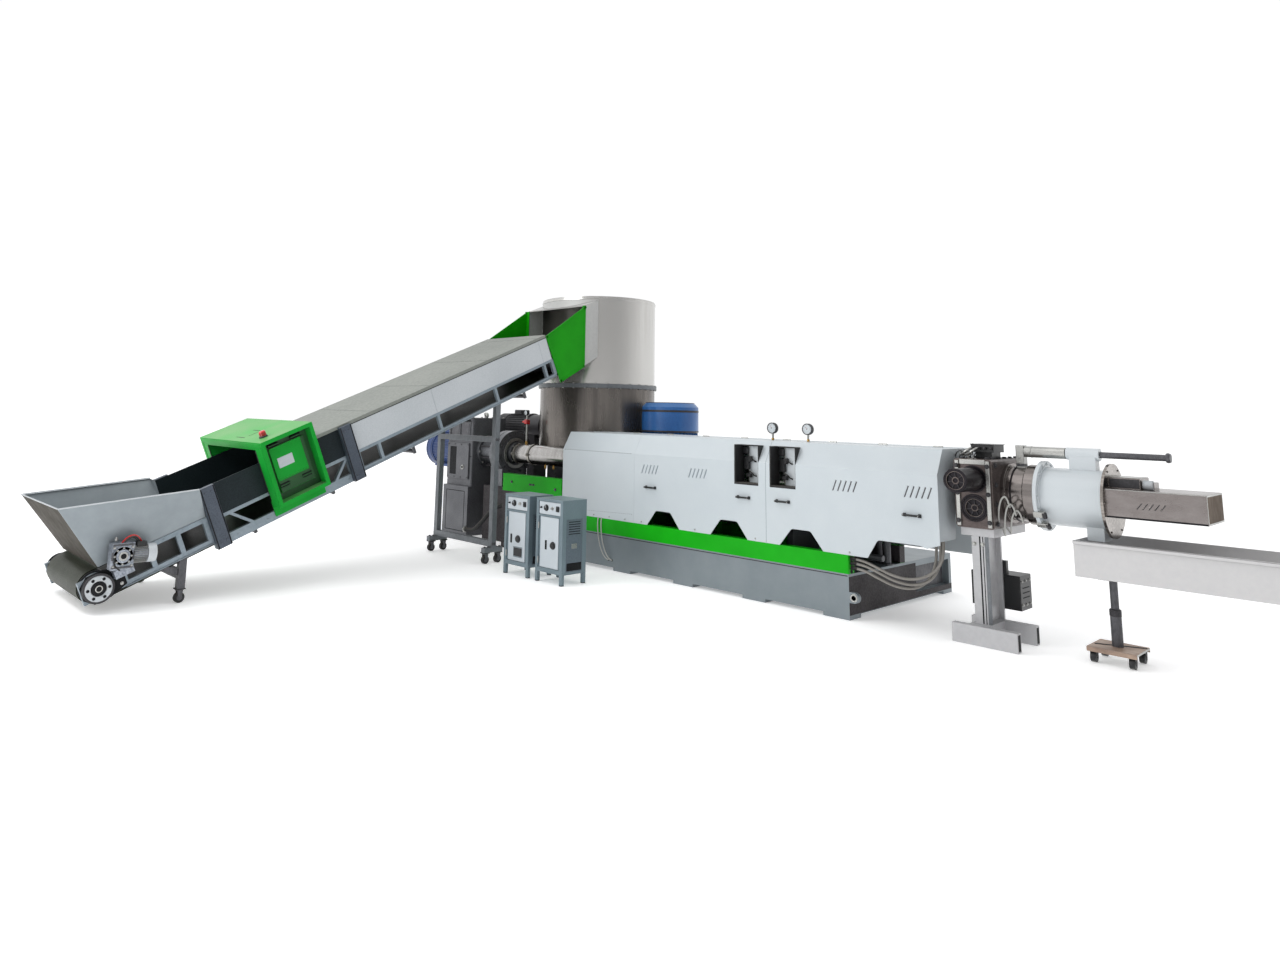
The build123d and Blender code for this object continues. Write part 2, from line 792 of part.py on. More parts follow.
export_step(feed_hood.part, "parts/feed_hood.step")

# Green chute wings on both sides of the belt's head
wing_thick = 8
wing_front = belt_length - 210
wing_low_rise = -196
with BuildPart() as chute_wings:
    for across in (frame_half_width + seat, -frame_half_width - seat - wing_thick):
        with BuildSketch(Plane.YZ.offset(belt_x + across)):
            with BuildLine():
                Polyline(on_slope(wing_front, post_top), (mouth_y - seat, hood_mouth_top),
                         (mouth_y - seat, hood_mouth_bottom), on_slope(wing_front + 30, wing_low_rise),
                         close=True)
            make_face()
        extrude(amount=wing_thick)
    for side in (-1, 1):
        inner = belt_x + side * (frame_half_width + seat)
        block(inner - side * 45, inner + side * wing_thick, mouth_y - seat - 8, mouth_y - seat,
              hood_mouth_bottom, hood_mouth_top)
chute_wings.part.label = "chute_wings"
export_step(chute_wings.part, "parts/chute_wings.step")

# Rotor drive: an upright motor on the base behind the covers
rotor_x = base_left + rotor_motor_inset + 20
rotor_y = screw_y + rotor_motor_behind
with BuildPart() as compactor_motor:
    post_round(rotor_x, rotor_y, base_height + seat, base_height + 60, rotor_motor_radius - 5)
    post_round(rotor_x, rotor_y, base_height + 60, rotor_motor_top - rotor_cowl_height,
               rotor_motor_radius - 40)
    post_round(rotor_x, rotor_y, rotor_motor_top - rotor_cowl_height, rotor_motor_top, rotor_motor_radius)
    chamfer(compactor_motor.edges().group_by(Axis.Z)[-1], length=50)
compactor_motor.part.label = "compactor_motor"
export_step(compactor_motor.part, "parts/compactor_motor.step")

# Belt, drums with their tail bearings, and bed
with BuildPart() as conveyor_belt:
    with BuildSketch(side_plane(-belt_width / 2)):
        with Locations((belt_length / 2, 0)):
            SlotCenterToCenter(belt_length, 2 * (drum_radius + seat + belt_thick))
            SlotCenterToCenter(belt_length, 2 * (drum_radius + seat), mode=Mode.SUBTRACT)
    extrude(amount=belt_width)
conveyor_belt.part.label = "conveyor_belt"
export_step(conveyor_belt.part, "parts/conveyor_belt.step")

with BuildPart() as belt_drums:
    for along in (0, belt_length):
        with BuildSketch(side_plane(-belt_width / 2 - 10)):
            with Locations((along, 0)):
                Circle(drum_radius)
        extrude(amount=belt_width + 20)
        with BuildSketch(side_plane(-frame_half_width)):
            with Locations((along, 0)):
                Circle(journal_radius)
        extrude(amount=2 * frame_half_width)
    for across in (frame_half_width + seat, -frame_half_width - seat - bearing_thick):
        with BuildSketch(side_plane(across)):
            Circle(bearing_radius)
        extrude(amount=bearing_thick)
belt_drums.part.label = "belt_drums"
export_step(belt_drums.part, "parts/belt_drums.step")

with BuildPart() as belt_bed:
    with BuildSketch(side_plane(-frame_half_width + frame_plate + seat)):
        with Locations((belt_length / 2, drum_radius - bed_thick / 2)):
            Rectangle(belt_length - 400, bed_thick)
    extrude(amount=2 * (frame_half_width - frame_plate - seat))
belt_bed.part.label = "belt_bed"
export_step(belt_bed.part, "parts/belt_bed.step")

# Side frames under the hopper and under the covered run
with BuildPart() as lower_frame:
    for across in (frame_half_width - frame_plate, -frame_half_width):
        with BuildSketch(side_plane(across)):
            ladder(180, first_post - seat, low_frame_bottom, low_frame_top, low_frame_rail, 3)
            with Locations((50, 0)):
                Rectangle(330, 180)
            Circle(drum_radius - 10)
            Circle(journal_radius + seat, mode=Mode.SUBTRACT)
        extrude(amount=frame_plate)
lower_frame.part.label = "lower_frame"
export_step(lower_frame.part, "parts/lower_frame.step")

with BuildPart() as upper_frame:
    for across in (frame_half_width - frame_plate, -frame_half_width):
        with BuildSketch(side_plane(across)):
            open_run(panel_start, belt_length - 200, frame_bottom, frame_top, frame_rail, divider_places)
            braced_bay()
            with Locations((belt_length - 60, 0)):
                Rectangle(300, 160)
            with Locations((belt_length, 0)):
                Circle(journal_radius + seat, mode=Mode.SUBTRACT)
        extrude(amount=frame_plate)
upper_frame.part.label = "upper_frame"
export_step(upper_frame.part, "parts/upper_frame.step")

# Gearmotor beside the hopper: a bracket on the frame, the gear housing and a level motor
gear_inner = belt_x + frame_half_width + bearing_thick + 2 * seat
gear_outer = gear_inner + gear_width
gear_x = (gear_inner + gear_outer) / 2
with BuildPart() as tail_gearmotor:
    with BuildSketch(side_plane(frame_half_width + seat)):
        with Locations((190, 50)):
            Rectangle(140, 64)
    extrude(amount=bearing_thick + 50)
    block(gear_inner, gear_outer, tail_y + 40, tail_y + gear_length, gear_height - gear_half - 15,
          gear_height + gear_half)
    round_bar_y(gear_x, tail_y + gear_length - 1, tail_y + gear_length + gearmotor_length, gear_height,
                gearmotor_radius)
    round_bar(gear_outer - 1, gear_outer + 8, tail_y + gear_length / 2 + 20, gear_height, gear_half - 20)
tail_gearmotor.part.label = "tail_gearmotor"
export_step(tail_gearmotor.part, "parts/tail_gearmotor.step")

# Posts that join the frame, the hopper and the panels
with BuildPart() as conveyor_posts:
    for across in (frame_half_width + seat, -frame_half_width - seat - post_thick):
        with BuildSketch(side_plane(across)):
            for start in (first_post, second_post):
                with Locations((start + post_width / 2, (post_bottom + post_top) / 2)):
                    Rectangle(post_width, post_top - post_bottom)
        extrude(amount=post_thick)
conveyor_posts.part.label = "conveyor_posts"
export_step(conveyor_posts.part, "parts/conveyor_posts.step")

# Hopper: four flared walls, open to the belt and to the tunnel
lip_turn = atan2(lip_end_rise - lip_start_rise, lip_end - lip_start)
lip_y, lip_z = on_slope((lip_start + lip_end) / 2, (lip_start_rise + lip_end_rise) / 2)
lip_angle = radians(slope_angle) + lip_turn
lip_span = ((lip_end - lip_start) ** 2 + (lip_end_rise - lip_start_rise) ** 2) ** 0.5
lip_plane = Plane(origin=(belt_x, lip_y, lip_z), x_dir=(1, 0, 0),
                  z_dir=(0, -sin(lip_angle), cos(lip_angle)))
mouth_plane = belt_plane((hopper_start + hopper_end) / 2, low_frame_top + seat)
cut_past = 40
with BuildPart() as conveyor_hopper:
    with BuildSketch(mouth_plane):
        Rectangle(2 * (frame_half_width - 5), hopper_end - hopper_start)
    with BuildSketch(lip_plane):
        Rectangle(2 * hopper_lip_half, lip_span)
    loft()
    with BuildSketch(mouth_plane):
        with Locations((0, cut_past / 2 + sheet / 2)):
            Rectangle(2 * (frame_half_width - 5 - sheet), hopper_end - hopper_start + cut_past - sheet)
    with BuildSketch(lip_plane):
        with Locations((0, cut_past / 2 + sheet / 2)):
            Rectangle(2 * (hopper_lip_half - sheet), lip_span + cut_past - sheet)
    loft(mode=Mode.SUBTRACT)
conveyor_hopper.part.label = "conveyor_hopper"
export_step(conveyor_hopper.part, "parts/conveyor_hopper.step")

# Dark side panels through the tunnel, light ones above it, and the lid
with BuildPart() as detector_side_panels:
    for across in (frame_half_width - panel_sheet, -frame_half_width):
        with BuildSketch(side_plane(across)):
            with Locations(((first_post + second_post + post_width) / 2,
                            (frame_top + seat + panel_top) / 2)):
                Rectangle(second_post + post_width - first_post, panel_top - frame_top - seat)
        extrude(amount=panel_sheet)
detector_side_panels.part.label = "detector_side_panels"
export_step(detector_side_panels.part, "parts/detector_side_panels.step")

with BuildPart() as upper_side_panels:
    for across in (frame_half_width - panel_sheet, -frame_half_width):
        with BuildSketch(side_plane(across)):
            with Locations(((panel_start + wing_front) / 2, (frame_top + seat + panel_top) / 2)):
                Rectangle(wing_front - panel_start, panel_top - frame_top - seat)
        extrude(amount=panel_sheet)
upper_side_panels.part.label = "upper_side_panels"
export_step(upper_side_panels.part, "parts/upper_side_panels.step")

lid_start = tunnel_start + tunnel_length + 30
with BuildPart() as belt_cover:
    with BuildSketch(side_plane(-frame_half_width)):
        with Locations(((lid_start + wing_front) / 2, panel_top + seat + 10)):
            Rectangle(wing_front - lid_start, 20)
    extrude(amount=2 * frame_half_width)
belt_cover.part.label = "belt_cover"
export_step(belt_cover.part, "parts/belt_cover.step")

# Detector tunnel: a portal over the belt with a recessed side door
tunnel_plane = Plane(origin=belt_plane(tunnel_start, 0).origin, x_dir=(-1, 0, 0),
                     z_dir=(0, slope_cos, slope_sin))
tunnel_middle = (tunnel_bottom + tunnel_top) / 2
door_middle = (tunnel_start + tunnel_length / 2, tunnel_middle)
bracket_bottom = chord_top - 48
bracket_top = tunnel_bottom + 50
with BuildPart() as detector_tunnel:
    with BuildSketch(tunnel_plane):
        with Locations((0, tunnel_middle)):
            Rectangle(2 * tunnel_half_width, tunnel_top - tunnel_bottom)
        with Locations((0, tunnel_middle - tunnel_roof / 2)):
            Rectangle(2 * (tunnel_half_width - tunnel_side), tunnel_top - tunnel_roof - tunnel_bottom,
                      mode=Mode.SUBTRACT)
    extrude(amount=tunnel_length)
    with BuildSketch(side_plane(tunnel_half_width - door_recess)):
        with Locations(door_middle):
            Rectangle(tunnel_length - door_margin, tunnel_top - tunnel_bottom - door_margin)
    extrude(amount=door_recess, mode=Mode.SUBTRACT)
    for across in (frame_half_width + seat, -tunnel_half_width + tunnel_side - seat):
        with BuildSketch(side_plane(across)):
            with Locations((tunnel_start + tunnel_length / 2, (bracket_bottom + bracket_top) / 2)):
                Rectangle(tunnel_length, bracket_top - bracket_bottom)
        extrude(amount=tunnel_half_width - tunnel_side - frame_half_width)
detector_tunnel.part.label = "detector_tunnel"
export_step(detector_tunnel.part, "parts/detector_tunnel.step")

with BuildPart() as detector_door:
    with BuildSketch(side_plane(tunnel_half_width - door_recess + seat)):
        with Locations(door_middle):
            Rectangle(tunnel_length - 2.4 * door_margin, tunnel_top - tunnel_bottom - 2.8 * door_margin)
    extrude(amount=door_thick)
detector_door.part.label = "detector_door"
export_step(detector_door.part, "parts/detector_door.step")

# Warning beacon on the tunnel's roof
beacon_radius = 30
beacon_height = 60
with BuildPart() as beacon:
    with BuildSketch(belt_plane(tunnel_start + 120, tunnel_top + seat)):
        with Locations((tunnel_half_width - 200, 0)):
            Circle(beacon_radius)
    extrude(amount=beacon_height)
    fillet(beacon.edges().sort_by(Axis.Z)[-1], radius=18)
beacon.part.label = "beacon"
export_step(beacon.part, "parts/beacon.step")


def trim_under_slope(rise):
    """Cut away what stands above a line parallel to the belt."""
    with BuildSketch(belt_plane(belt_length / 2, rise), mode=Mode.PRIVATE) as lid:
        Rectangle(3 * frame_half_width, 2 * belt_length)
    extrude(lid.sketch, amount=belt_length, mode=Mode.SUBTRACT)


# Legs under the hopper
leg_half = leg_tube / 2
leg_y = tail_y + leg_from_tail
brace_start = (430, 640)
with BuildPart() as tail_legs:
    for side in (-1, 1):
        x = belt_x + side * (frame_half_width - leg_half)
        block(x - leg_half, x + leg_half, leg_y - leg_half, leg_y + leg_half,
              caster_height + seat, tail_height + belt_length)
    block(belt_x - frame_half_width, belt_x + frame_half_width, leg_y - leg_half, leg_y + leg_half,
          190, 190 + leg_tube)
    trim_under_slope(low_frame_bottom - seat)
    for side in (-1, 1):
        x = belt_x + side * (frame_half_width - leg_half)
        low_y, low_z = on_slope(brace_start[0], low_frame_bottom - seat)
        with BuildSketch(Plane.YZ.offset(x - 12)):
            with BuildLine():
                Polyline((low_y, low_z), (low_y + 60, low_z + 60 * tan(radians(slope_angle))),
                         (leg_y, 262), (leg_y, 212), close=True)
            make_face()
        extrude(amount=24)
tail_legs.part.label = "tail_legs"
export_step(tail_legs.part, "parts/tail_legs.step")

# Stand under the middle of the conveyor
stand_y = screw_y - stand_before
stand_half = stand_tube / 2
with BuildPart() as conveyor_stand:
    for side in (-1, 1):
        x = belt_x + side * (frame_half_width - stand_half)
        block(x - stand_half, x + stand_half, stand_y - stand_half, stand_y + stand_half,
              caster_height + seat, tail_height + belt_length)
    for z in (stand_low_bar, slope_height(stand_y) - stand_bar_drop):
        block(belt_x - frame_half_width, belt_x + frame_half_width, stand_y - stand_half,
              stand_y + stand_half, z - stand_half, z + stand_half)
    trim_under_slope(frame_bottom - seat)
    for side in (-1, 1):
        x = belt_x + side * (frame_half_width - stand_half)
        block(x - stand_half, x + stand_half, stand_y - stand_foot / 2, stand_y + stand_foot / 2,
              caster_height + seat, caster_height + 50)
conveyor_stand.part.label = "conveyor_stand"
export_step(conveyor_stand.part, "parts/conveyor_stand.step")

with BuildPart() as conveyor_casters:
    for side in (-1, 1):
        caster(belt_x + side * (frame_half_width - 38), leg_y)
        for end in (-1, 1):
            caster(belt_x + side * (frame_half_width - 38), stand_y + end * (stand_foot / 2 - 38))
conveyor_casters.part.label = "conveyor_casters"
export_step(conveyor_casters.part, "parts/conveyor_casters.step")

# Screen changer block, bored for its two pistons and bolted round the rim
changer_right = changer_left + changer_width
changer_x = (changer_left + changer_right) / 2
changer_front = screw_y - changer_depth / 2
changer_back = screw_y + changer_depth / 2
changer_bottom = screw_height - changer_height / 2
changer_top = screw_height + changer_height / 2
upper_z = screw_height + piston_rise
lower_z = screw_height - piston_rise
with BuildPart() as screen_changer:
    block(changer_left, changer_right, changer_front, changer_back, changer_bottom, changer_top)
    chamfer(screen_changer.edges().filter_by(Axis.Y), length=14)
    for z in (upper_z, lower_z):
        round_bar_y(changer_x, changer_front - 1, changer_back + 1, z, piston_radius + seat,
                    mode=Mode.SUBTRACT)
screen_changer.part.label = "screen_changer"
export_step(screen_changer.part, "parts/screen_changer.step")

# Pistons with a dished face and a rod to their jack
def piston(front, z):
    """A piston from its dished front face back to its rod."""
    back = front + changer_depth
    round_bar_y(changer_x, front, back, z, piston_radius)
    round_bar_y(changer_x, front - 1, front + 12, z, piston_radius - 20, mode=Mode.SUBTRACT)
    round_bar_y(changer_x, back - 1, back + rod_length, z, piston_rod)


with BuildPart() as upper_piston:
    piston(changer_front - piston_travel, upper_z)
upper_piston.part.label = "upper_piston"
export_step(upper_piston.part, "parts/upper_piston.step")

with BuildPart() as lower_piston:
    piston(changer_front, lower_z)
lower_piston.part.label = "lower_piston"
export_step(lower_piston.part, "parts/lower_piston.step")

# Hydraulic jacks behind the block, one for each piston
with BuildPart() as piston_jacks:
    for z in (upper_z, lower_z):
        jack_front = changer_back + seat
        round_bar_y(changer_x, jack_front, jack_front + jack_length, z, jack_radius)
        block(changer_x - 85, changer_x + 85, jack_front, jack_front + 36, z - 85, z + 85)
        round_bar_y(changer_x, jack_front - 1, jack_front + jack_length - 30, z, piston_rod + seat,
                    mode=Mode.SUBTRACT)
piston_jacks.part.label = "piston_jacks"
export_step(piston_jacks.part, "parts/piston_jacks.step")

# Stand of the screen changer: head plate, beam column and two foot beams
foot_left = changer_left - 34
foot_front = changer_front - 83
column_y = changer_front + column_front
with BuildPart() as changer_stand:
    block(changer_left + 20, changer_right - 20, changer_front + 30, changer_back - 60,
          changer_bottom - head_plate, changer_bottom - seat)
    with BuildSketch(Plane.XY.offset(foot_beam_height)):
        with Locations((changer_x, column_y + column_depth / 2)):
            Rectangle(column_width, column_depth)
        for side in (-1, 1):
            with Locations((changer_x + side * (column_width + column_web) / 4, column_y + column_depth / 2)):
                Rectangle((column_width - column_web) / 2, column_depth - 2 * column_flange,
                          mode=Mode.SUBTRACT)
    extrude(amount=changer_bottom - head_plate - foot_beam_height)
    for y in (foot_front, foot_front + 353):
        block(foot_left, foot_left + foot_beam_length, y, y + foot_beam_width, 0, foot_beam_height)
    block(changer_x - 70, changer_x + 70, foot_front + foot_beam_width - 1, foot_front + 354, 20,
          foot_beam_height)
changer_stand.part.label = "changer_stand"
export_step(changer_stand.part, "parts/changer_stand.step")

# Hydraulic pack on the column and valve block on top of the changer
pack_y = column_y + column_depth + seat
with BuildPart() as hydraulic_pack:
    block(changer_x - 190, changer_x + 170, pack_y, pack_y + 210, 210, 460)
    block(changer_x - 170, changer_x - 60, pack_y, pack_y + 90, 520, 650)
    block(changer_x - 75, changer_x + 75, pack_y, pack_y + 40, 440, 560)
    block(changer_x - 60, changer_x + 60, screw_y - 130, screw_y + 40, changer_top + seat, changer_top + 50)
    block(changer_x - 75, changer_x + 95, screw_y - 180, screw_y + 20, changer_top + 49, changer_top + 105)
hydraulic_pack.part.label = "hydraulic_pack"
export_step(hydraulic_pack.part, "parts/hydraulic_pack.step")

# Water ring at the die face
ring_left = changer_right + seat
ring_right = ring_left + ring_length
with BuildPart() as water_ring:
    round_bar(ring_left, ring_right, screw_y, screw_height, ring_radius)
    round_bar(ring_left, ring_left + 24, screw_y, screw_height, ring_radius + 22)
water_ring.part.label = "water_ring"
export_step(water_ring.part, "parts/water_ring.step")

# Guide: post on the ring, sleeve, rod and end knob
guide_z = screw_height + guide_rise
post_x = ring_left + 60
guide_end = post_x + guide_reach
boss_left = post_x + guide_post_width + 290
with BuildPart() as guide_rod:
    block(post_x, post_x + guide_post_width, screw_y - 35, screw_y + 35, screw_height + ring_radius - 60,
          guide_z + 45)
    round_bar(post_x + guide_post_width - 1, guide_end, screw_y, guide_z, guide_radius)
    round_bar(post_x + guide_post_width - 1, boss_left - slide_gap, screw_y, guide_z, guide_sleeve_radius)
    round_bar(guide_end - 26, guide_end, screw_y, guide_z, guide_knob_radius)
    round_bar(ring_left, ring_right, screw_y, screw_height, ring_radius + seat, mode=Mode.SUBTRACT)
guide_rod.part.label = "guide_rod"
export_step(guide_rod.part, "parts/guide_rod.step")

# Pelletizer hood with its flange, guide boss and outlet
hood_left = ring_right + slide_gap
hood_right = hood_left + hood_length
boss_right = boss_left + guide_boss_length
outlet_left = hood_right - 145
with BuildPart() as pelletizer_hood:
    round_bar(hood_left, hood_left + hood_flange_thick, screw_y, screw_height, hood_flange_radius)
    round_bar(hood_left, hood_right, screw_y, screw_height, hood_radius)
    round_bar(hood_left - 1, hood_right - 30, screw_y, screw_height, hood_radius - hood_wall,
              mode=Mode.SUBTRACT)
    block(boss_left + 20, boss_right - 20, screw_y - 40, screw_y + 40,
          screw_height + hood_radius - 10, guide_z)
    round_bar(boss_left, boss_right, screw_y, guide_z, guide_boss_radius)
    round_bar(boss_left - 1, boss_right + 1, screw_y, guide_z, guide_radius + seat, mode=Mode.SUBTRACT)
    block(outlet_left, outlet_left + 110, screw_y - 90, screw_y + 90, trough_top - 15,
          screw_height - hood_radius + 25)
pelletizer_hood.part.label = "pelletizer_hood"
export_step(pelletizer_hood.part, "parts/pelletizer_hood.step")

with BuildPart() as end_disc:
    disc_left = hood_right + seat
    round_bar(disc_left, disc_left + end_disc_thick, screw_y, screw_height, end_disc_radius)
end_disc.part.label = "end_disc"
export_step(end_disc.part, "parts/end_disc.step")

# Cutter motor box behind the end disc
box_left = disc_left + end_disc_thick + seat
with BuildPart() as cutter_box:
    block(box_left, box_left + cutter_box_length, screw_y - cutter_box_width / 2,
          screw_y + cutter_box_width / 2, screw_height - cutter_box_height / 2,
          screw_height + cutter_box_height / 2)
    block(box_left, box_left + 190, screw_y - 110, screw_y + 110, screw_height + cutter_box_height / 2 - 1,
          screw_height + cutter_box_height / 2 + 75)
    block(box_left + 189, box_left + 260, screw_y - 60, screw_y + 60,
          screw_height + cutter_box_height / 2 - 1, screw_height + cutter_box_height / 2 + 50)
cutter_box.part.label = "cutter_box"
export_step(cutter_box.part, "parts/cutter_box.step")

# Outlet trough, an open channel with a closed start
trough_x = end_x + trough_start
trough_end = trough_x + trough_length
trough_floor = trough_top - trough_depth
with BuildPart() as outlet_trough:
    block(trough_x, trough_end, screw_y - trough_half_width, screw_y + trough_half_width,
          trough_floor, trough_top)
    block(trough_x + trough_wall, trough_end + 1, screw_y - trough_half_width + trough_wall,
          screw_y + trough_half_width - trough_wall, trough_floor + trough_wall, trough_top + 1,
          mode=Mode.SUBTRACT)
outlet_trough.part.label = "outlet_trough"
export_step(outlet_trough.part, "parts/outlet_trough.step")

# Rolling jack stands under the trough
with BuildPart() as trough_stands:
    for x in (trough_x + jack_from_end, trough_end - jack_from_end):
        y = screw_y - 80
        block(x - 60, x + 60, y - 60, y + 60, trough_floor - 20, trough_floor - seat)
        post_round(x, y, 100, trough_floor - 19, jack_tube)
        post_round(x, y, 100, 330, jack_tube + 8)
        block(x - jack_plate / 2, x + jack_plate / 2, y - jack_plate / 2, y + jack_plate / 2, 88, 101)
        for side in (-1, 1):
            for end in (-1, 1):
                wheel_x = x + side * (jack_plate / 2 - 35)
                wheel_y = y + end * (jack_plate / 2 - 35)
                block(wheel_x - 20, wheel_x + 20, wheel_y - 10, wheel_y + 10, 35, 89)
                round_bar(wheel_x - 13, wheel_x + 13, wheel_y, 35, 35)
trough_stands.part.label = "trough_stands"
export_step(trough_stands.part, "parts/trough_stands.step")


# Control cabinets on four legs
def cabinet(start):
    """A cabinet with a framed front and four angle legs."""
    left = base_left + start
    front = screw_y - cabinet_before
    block(left, left + cabinet_width, front, front + cabinet_depth, cabinet_foot, cabinet_height)
    for x in (left, left + cabinet_width - cabinet_leg):
        for y in (front, front + cabinet_depth - cabinet_leg):
            block(x, x + cabinet_leg, y, y + cabinet_leg, 0, cabinet_foot + 1)
    block(left + cabinet_leg, left + cabinet_width - cabinet_leg, front, front + 10,
          cabinet_foot + 40, cabinet_height - 165, mode=Mode.SUBTRACT)
    block(left + cabinet_leg, left + cabinet_width - cabinet_leg, front, front + 10,
          cabinet_height - 150, cabinet_height - 25, mode=Mode.SUBTRACT)


with BuildPart() as control_cabinet_left:
    cabinet(cabinet_starts[0])
control_cabinet_left.part.label = "control_cabinet_left"
export_step(control_cabinet_left.part, "parts/control_cabinet_left.step")

with BuildPart() as control_cabinet_right:
    cabinet(cabinet_starts[1])
control_cabinet_right.part.label = "control_cabinet_right"
export_step(control_cabinet_right.part, "parts/control_cabinet_right.step")
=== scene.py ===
from math import cos, pi, radians, sin

import bmesh
import bpy
import numpy as np
from mathutils import Matrix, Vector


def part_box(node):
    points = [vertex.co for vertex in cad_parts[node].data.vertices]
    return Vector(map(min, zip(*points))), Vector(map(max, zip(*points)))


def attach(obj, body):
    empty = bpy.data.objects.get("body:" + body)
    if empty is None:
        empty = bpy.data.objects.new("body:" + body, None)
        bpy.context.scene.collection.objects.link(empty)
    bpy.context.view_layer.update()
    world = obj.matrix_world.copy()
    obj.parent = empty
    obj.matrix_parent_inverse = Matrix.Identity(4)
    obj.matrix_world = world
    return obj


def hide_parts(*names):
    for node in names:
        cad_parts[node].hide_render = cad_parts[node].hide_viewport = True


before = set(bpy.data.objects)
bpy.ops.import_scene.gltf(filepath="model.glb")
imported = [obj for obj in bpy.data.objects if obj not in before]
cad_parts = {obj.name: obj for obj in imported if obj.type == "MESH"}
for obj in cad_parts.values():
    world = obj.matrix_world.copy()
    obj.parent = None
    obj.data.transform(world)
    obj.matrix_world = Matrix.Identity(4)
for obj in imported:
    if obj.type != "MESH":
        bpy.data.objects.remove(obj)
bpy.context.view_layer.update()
print("frame loaded")


# --- shared places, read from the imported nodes
def middle(node, axis):
    low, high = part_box(node)
    return (low[axis] + high[axis]) / 2


axisY, axisZ = middle("water_ring", 1), middle("water_ring", 2)  # the screw's line
railLow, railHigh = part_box("green_rails")
coverLow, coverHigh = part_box("rear_cover")
endX, frontY = railHigh.x, railLow.y
coverLeft, coverRight, coverTop = coverLow.x, coverHigh.x, coverHigh.z
beltX = middle("conveyor_belt", 0)
slope = radians(22.6)
tailY, tailZ = axisY - 5.2 * cos(slope) - 0.254, 0.193  # the tail drum's axis
slopeAxes = np.array([[1, 0, 0], [0, cos(slope), sin(slope)], [0, -sin(slope), cos(slope)]])
slopePlace = np.array([beltX, tailY, tailZ])

# --- camera
cameraView = {"lens": 23.94, "shiftX": 0.0526, "shiftY": -0.16, "yaw": 0.828055, "pitch": -0.15994,
              "roll": 0.0232386, "place": (endX + 3.744, axisY - 7.02996, 1.6)}


def makeCamera(view):
    yaw, pitch, roll = view["yaw"], view["pitch"], view["roll"]
    ahead, right = np.array([-sin(yaw), cos(yaw), 0]), np.array([cos(yaw), sin(yaw), 0])
    up = np.array([0, 0, 1.0])
    look = ahead * cos(pitch) - up * sin(pitch)
    lift = up * cos(pitch) + ahead * sin(pitch)
    data = bpy.data.cameras.new("camera")
    data.lens, data.sensor_width, data.clip_end = view["lens"], 36, 200
    data.shift_x, data.shift_y = view["shiftX"], view["shiftY"]
    camera = bpy.data.objects.new("camera", data)
    bpy.context.scene.collection.objects.link(camera)
    turn = np.eye(4)
    turn[:3, 0] = right * cos(roll) + lift * sin(roll)
    turn[:3, 1] = lift * cos(roll) - right * sin(roll)
    turn[:3, 2] = -look
    turn[:3, 3] = view["place"]
    camera.matrix_world = Matrix(turn.tolist())
    bpy.context.scene.camera = camera


makeCamera(cameraView)
print("camera set")


# --- shapes: each is (points, faces), worked out as whole arrays
def gridShape(points, wrapAcross=False, wrapAlong=False, caps=True):
    # faces join row i, column j to the next row and column; the first and last rows are closed by caps
    rows, columns = points.shape[:2]
    index = np.arange(rows * columns).reshape(rows, columns)
    if wrapAlong:
        index = np.vstack([index, index[:1]])
    if wrapAcross:
        index = np.hstack([index, index[:, :1]])
    corners = (index[:-1, :-1], index[:-1, 1:], index[1:, 1:], index[1:, :-1])
    faces = np.stack(corners, -1).reshape(-1, 4).tolist()
    if caps and not wrapAlong:
        faces += [index[0, :columns].tolist()[::-1], index[-1, :columns].tolist()]
    return points.reshape(-1, 3), faces


def joined(shapes):
    points, faces, start = [], [], 0
    for shape in shapes:
        points.append(shape[0])
        faces += [[corner + start for corner in face] for face in shape[1]]
        start += len(shape[0])
    return np.concatenate(points), faces


def placed(shape, place=(0, 0, 0), axes=None):
    # local x, y, z go along the three rows of axes, from place
    points = shape[0] if axes is None else shape[0] @ np.array(axes, float)
    return points + np.array(place, float), shape[1]


def onSlope(shape):
    # local x across the belt, y up the belt, z square to it
    return placed(shape, slopePlace, slopeAxes)


def repeated(shape, places):
    # the same shape at each place
    places = np.array(places, float)
    count = len(shape[0])
    points = (places[:, None, :] + shape[0][None]).reshape(-1, 3)
    faces = [[corner + n * count for corner in face] for n in range(len(places)) for face in shape[1]]
    return points, faces


axesFor = {"x": [[0, 1, 0], [0, 0, 1], [1, 0, 0]], "-x": [[0, 1, 0], [0, 0, -1], [-1, 0, 0]],
           "y": [[0, 0, 1], [1, 0, 0], [0, 1, 0]], "-y": [[1, 0, 0], [0, 0, 1], [0, -1, 0]],
           "z": [[1, 0, 0], [0, 1, 0], [0, 0, 1]], "-z": [[1, 0, 0], [0, -1, 0], [0, 0, -1]]}


def turned(profile, way="z", place=(0, 0, 0), steps=40, wrap=False):
    # point (i, j) = (radius i * cos(angle j), radius i * sin(angle j), height i)
    profile = np.array(profile, float)
    angles = np.arange(steps) * 2 * pi / steps
    points = np.stack([profile[:, :1] * np.cos(angles), profile[:, :1] * np.sin(angles),
                       np.repeat(profile[:, 1:], steps, 1)], -1)
    return placed(gridShape(points, wrapAcross=True, wrapAlong=wrap), place, axesFor[way])


def ring(inner, outer, low, high, way="z", place=(0, 0, 0), steps=40, edge=0.0015):
    # a band whose four corners are eased by edge
    e = min(edge, (outer - inner) / 3, (high - low) / 3)
    profile = [(inner, low + e), (inner + e, low), (outer - e, low), (outer, low + e), (outer, high - e),
               (outer - e, high), (inner + e, high), (inner, high - e)]
    return turned(profile, way, place, steps, wrap=True)


def disc(radius, low, high, way="z", place=(0, 0, 0), steps=40, edge=0.002):
    e = min(edge, radius / 3, (high - low) / 3)
    profile = [(radius - e, low), (radius, low + e), (radius, high - e), (radius - e, high)]
    return turned(profile, way, place, steps)


